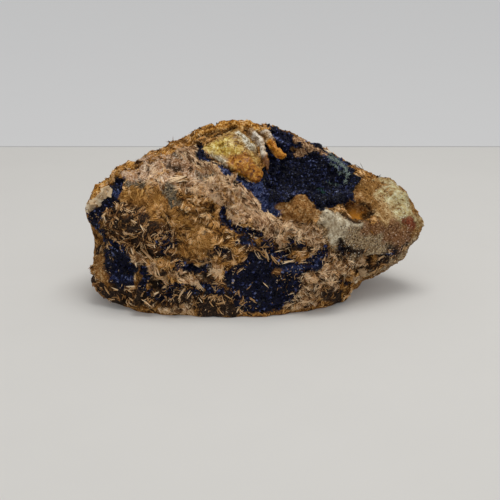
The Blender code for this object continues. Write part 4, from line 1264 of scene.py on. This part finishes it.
def make_studio():
    """A pale floor with a brighter sheet behind, two soft lamps and the front view's camera."""
    scene = bpy.context.scene
    for name, middle, colour, glow in GROUNDS:
        bpy.ops.mesh.primitive_plane_add(size=GROUND_SIDE, location=middle)
        bpy.ops.object.transform_apply(location=True, rotation=True, scale=True)
        ground = bpy.context.active_object
        ground.name = name
        finish = Finish(name, Roughness=0.7, Emission_Strength=glow, Emission_Color=GROUND_GLOW)
        finish.take("Base Color", finish.place.noise(30, 2).ramp(
            (0.3, *(0.985 * c for c in colour)), (0.7, *colour)))
        finish.on(ground)
    world = bpy.data.worlds.new("studio")
    scene.world = world
    world.use_nodes = True
    sky = world.node_tree.nodes["Background"].inputs
    sky["Color"].default_value = SKY
    sky["Strength"].default_value = SKY_STRENGTH
    for name, place, size, power in LAMPS:
        lamp = bpy.data.lights.new(name, "AREA")
        lamp.size, lamp.energy, lamp.color = size, power, LAMP_COLOUR
        holder = bpy.data.objects.new(name, lamp)
        holder.location = place
        aim = Vector(LAMP_AIM) - Vector(place)
        holder.rotation_euler = aim.to_track_quat("-Z", "Y").to_euler()
        scene.collection.objects.link(holder)
    lens = bpy.data.cameras.new("front_view")
    lens.sensor_width = SENSOR
    lens.lens = SENSOR * FOCAL / FRAME_SIDE
    lens.clip_start = 0.01
    camera = bpy.data.objects.new("front_view", lens)
    camera.location = Vector(EYE * MM)
    camera.rotation_euler = (math.pi / 2 - ELEVATION, 0, 0)
    scene.collection.objects.link(camera)
    scene.camera = camera
    scene.view_settings.view_transform = "Standard"


PLATES = (
    ("inner_crescent_plate", "inner_crescent", 8, (1.1, 1.1, 0.94), (-1.5, 0, -0.2)),
    ("outer_crescent_plate", "outer_crescent", 9, (1.34, 1.1, 0.84), (-1.5, 0, 0.8)),
)


def main():
    make_studio()
    shell, masks = make_shell()
    shell_finish().on(shell)
    surface = Surface(shell)
    felt = sow_needles(surface, masks)
    laths, edges = sow_laths(surface, masks), sow_edges(surface, masks)
    slivers, blocks = lay_slivers(surface), sow_blocks(surface, masks)
    grains, flecks = sow_grains(surface, masks), sow_flecks(surface, masks)
    tone_finish("tan_laths", LATH_STOPS, 0.6).on(laths, edges, slivers, flecks)
    above = eased(1.0, 2.0, surface.points[:, 2])
    seams = sow_azurite(surface, "seam_crystals", masks["azurite"] * above, masks["bright"],
                        SEAM_CRYSTALS, (0.3, 0.8), 3)
    bed, crystals = make_hollow(surface)
    tone_finish("azurite_crystals", AZURITE_STOPS, 0.3, 0.22).on(seams, crystals)
    malachite = sow_malachite(Surface(bed))
    nodule = make_quartz("quartz_nodule", "stained_nodule", NODULE_VOXEL, 0.34, 3.4, 5,
                         (1.18, 1.05, 1.22), (-1.0, 0, 0.2))
    stain(nodule, NODULE_STAINS, 2.4, 1.4)
    nodule_finish().on(nodule)
    plates = []
    for node, name, seed, swell, slide in PLATES:
        plate = make_quartz(node, name, PLATE_VOXEL, 0.26, 2.6, seed, swell, slide)
        stain(plate, PLATE_STAINS, 1.6, 1.0)
        plate_finish(name).on(plate)
        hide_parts(node)
        plates.append(plate)
    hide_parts("host_rock")
    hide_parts("azurite_druse")
    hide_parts("azurite_left_pocket", "azurite_lower_seam")
    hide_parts("quartz_nodule")
    rock = (shell, felt, laths, edges, slivers, blocks, grains, flecks)
    blue = (seams, bed, crystals, malachite)
    for piece in (*rock, *blue, nodule, *plates):
        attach(piece, ROOT)


main()
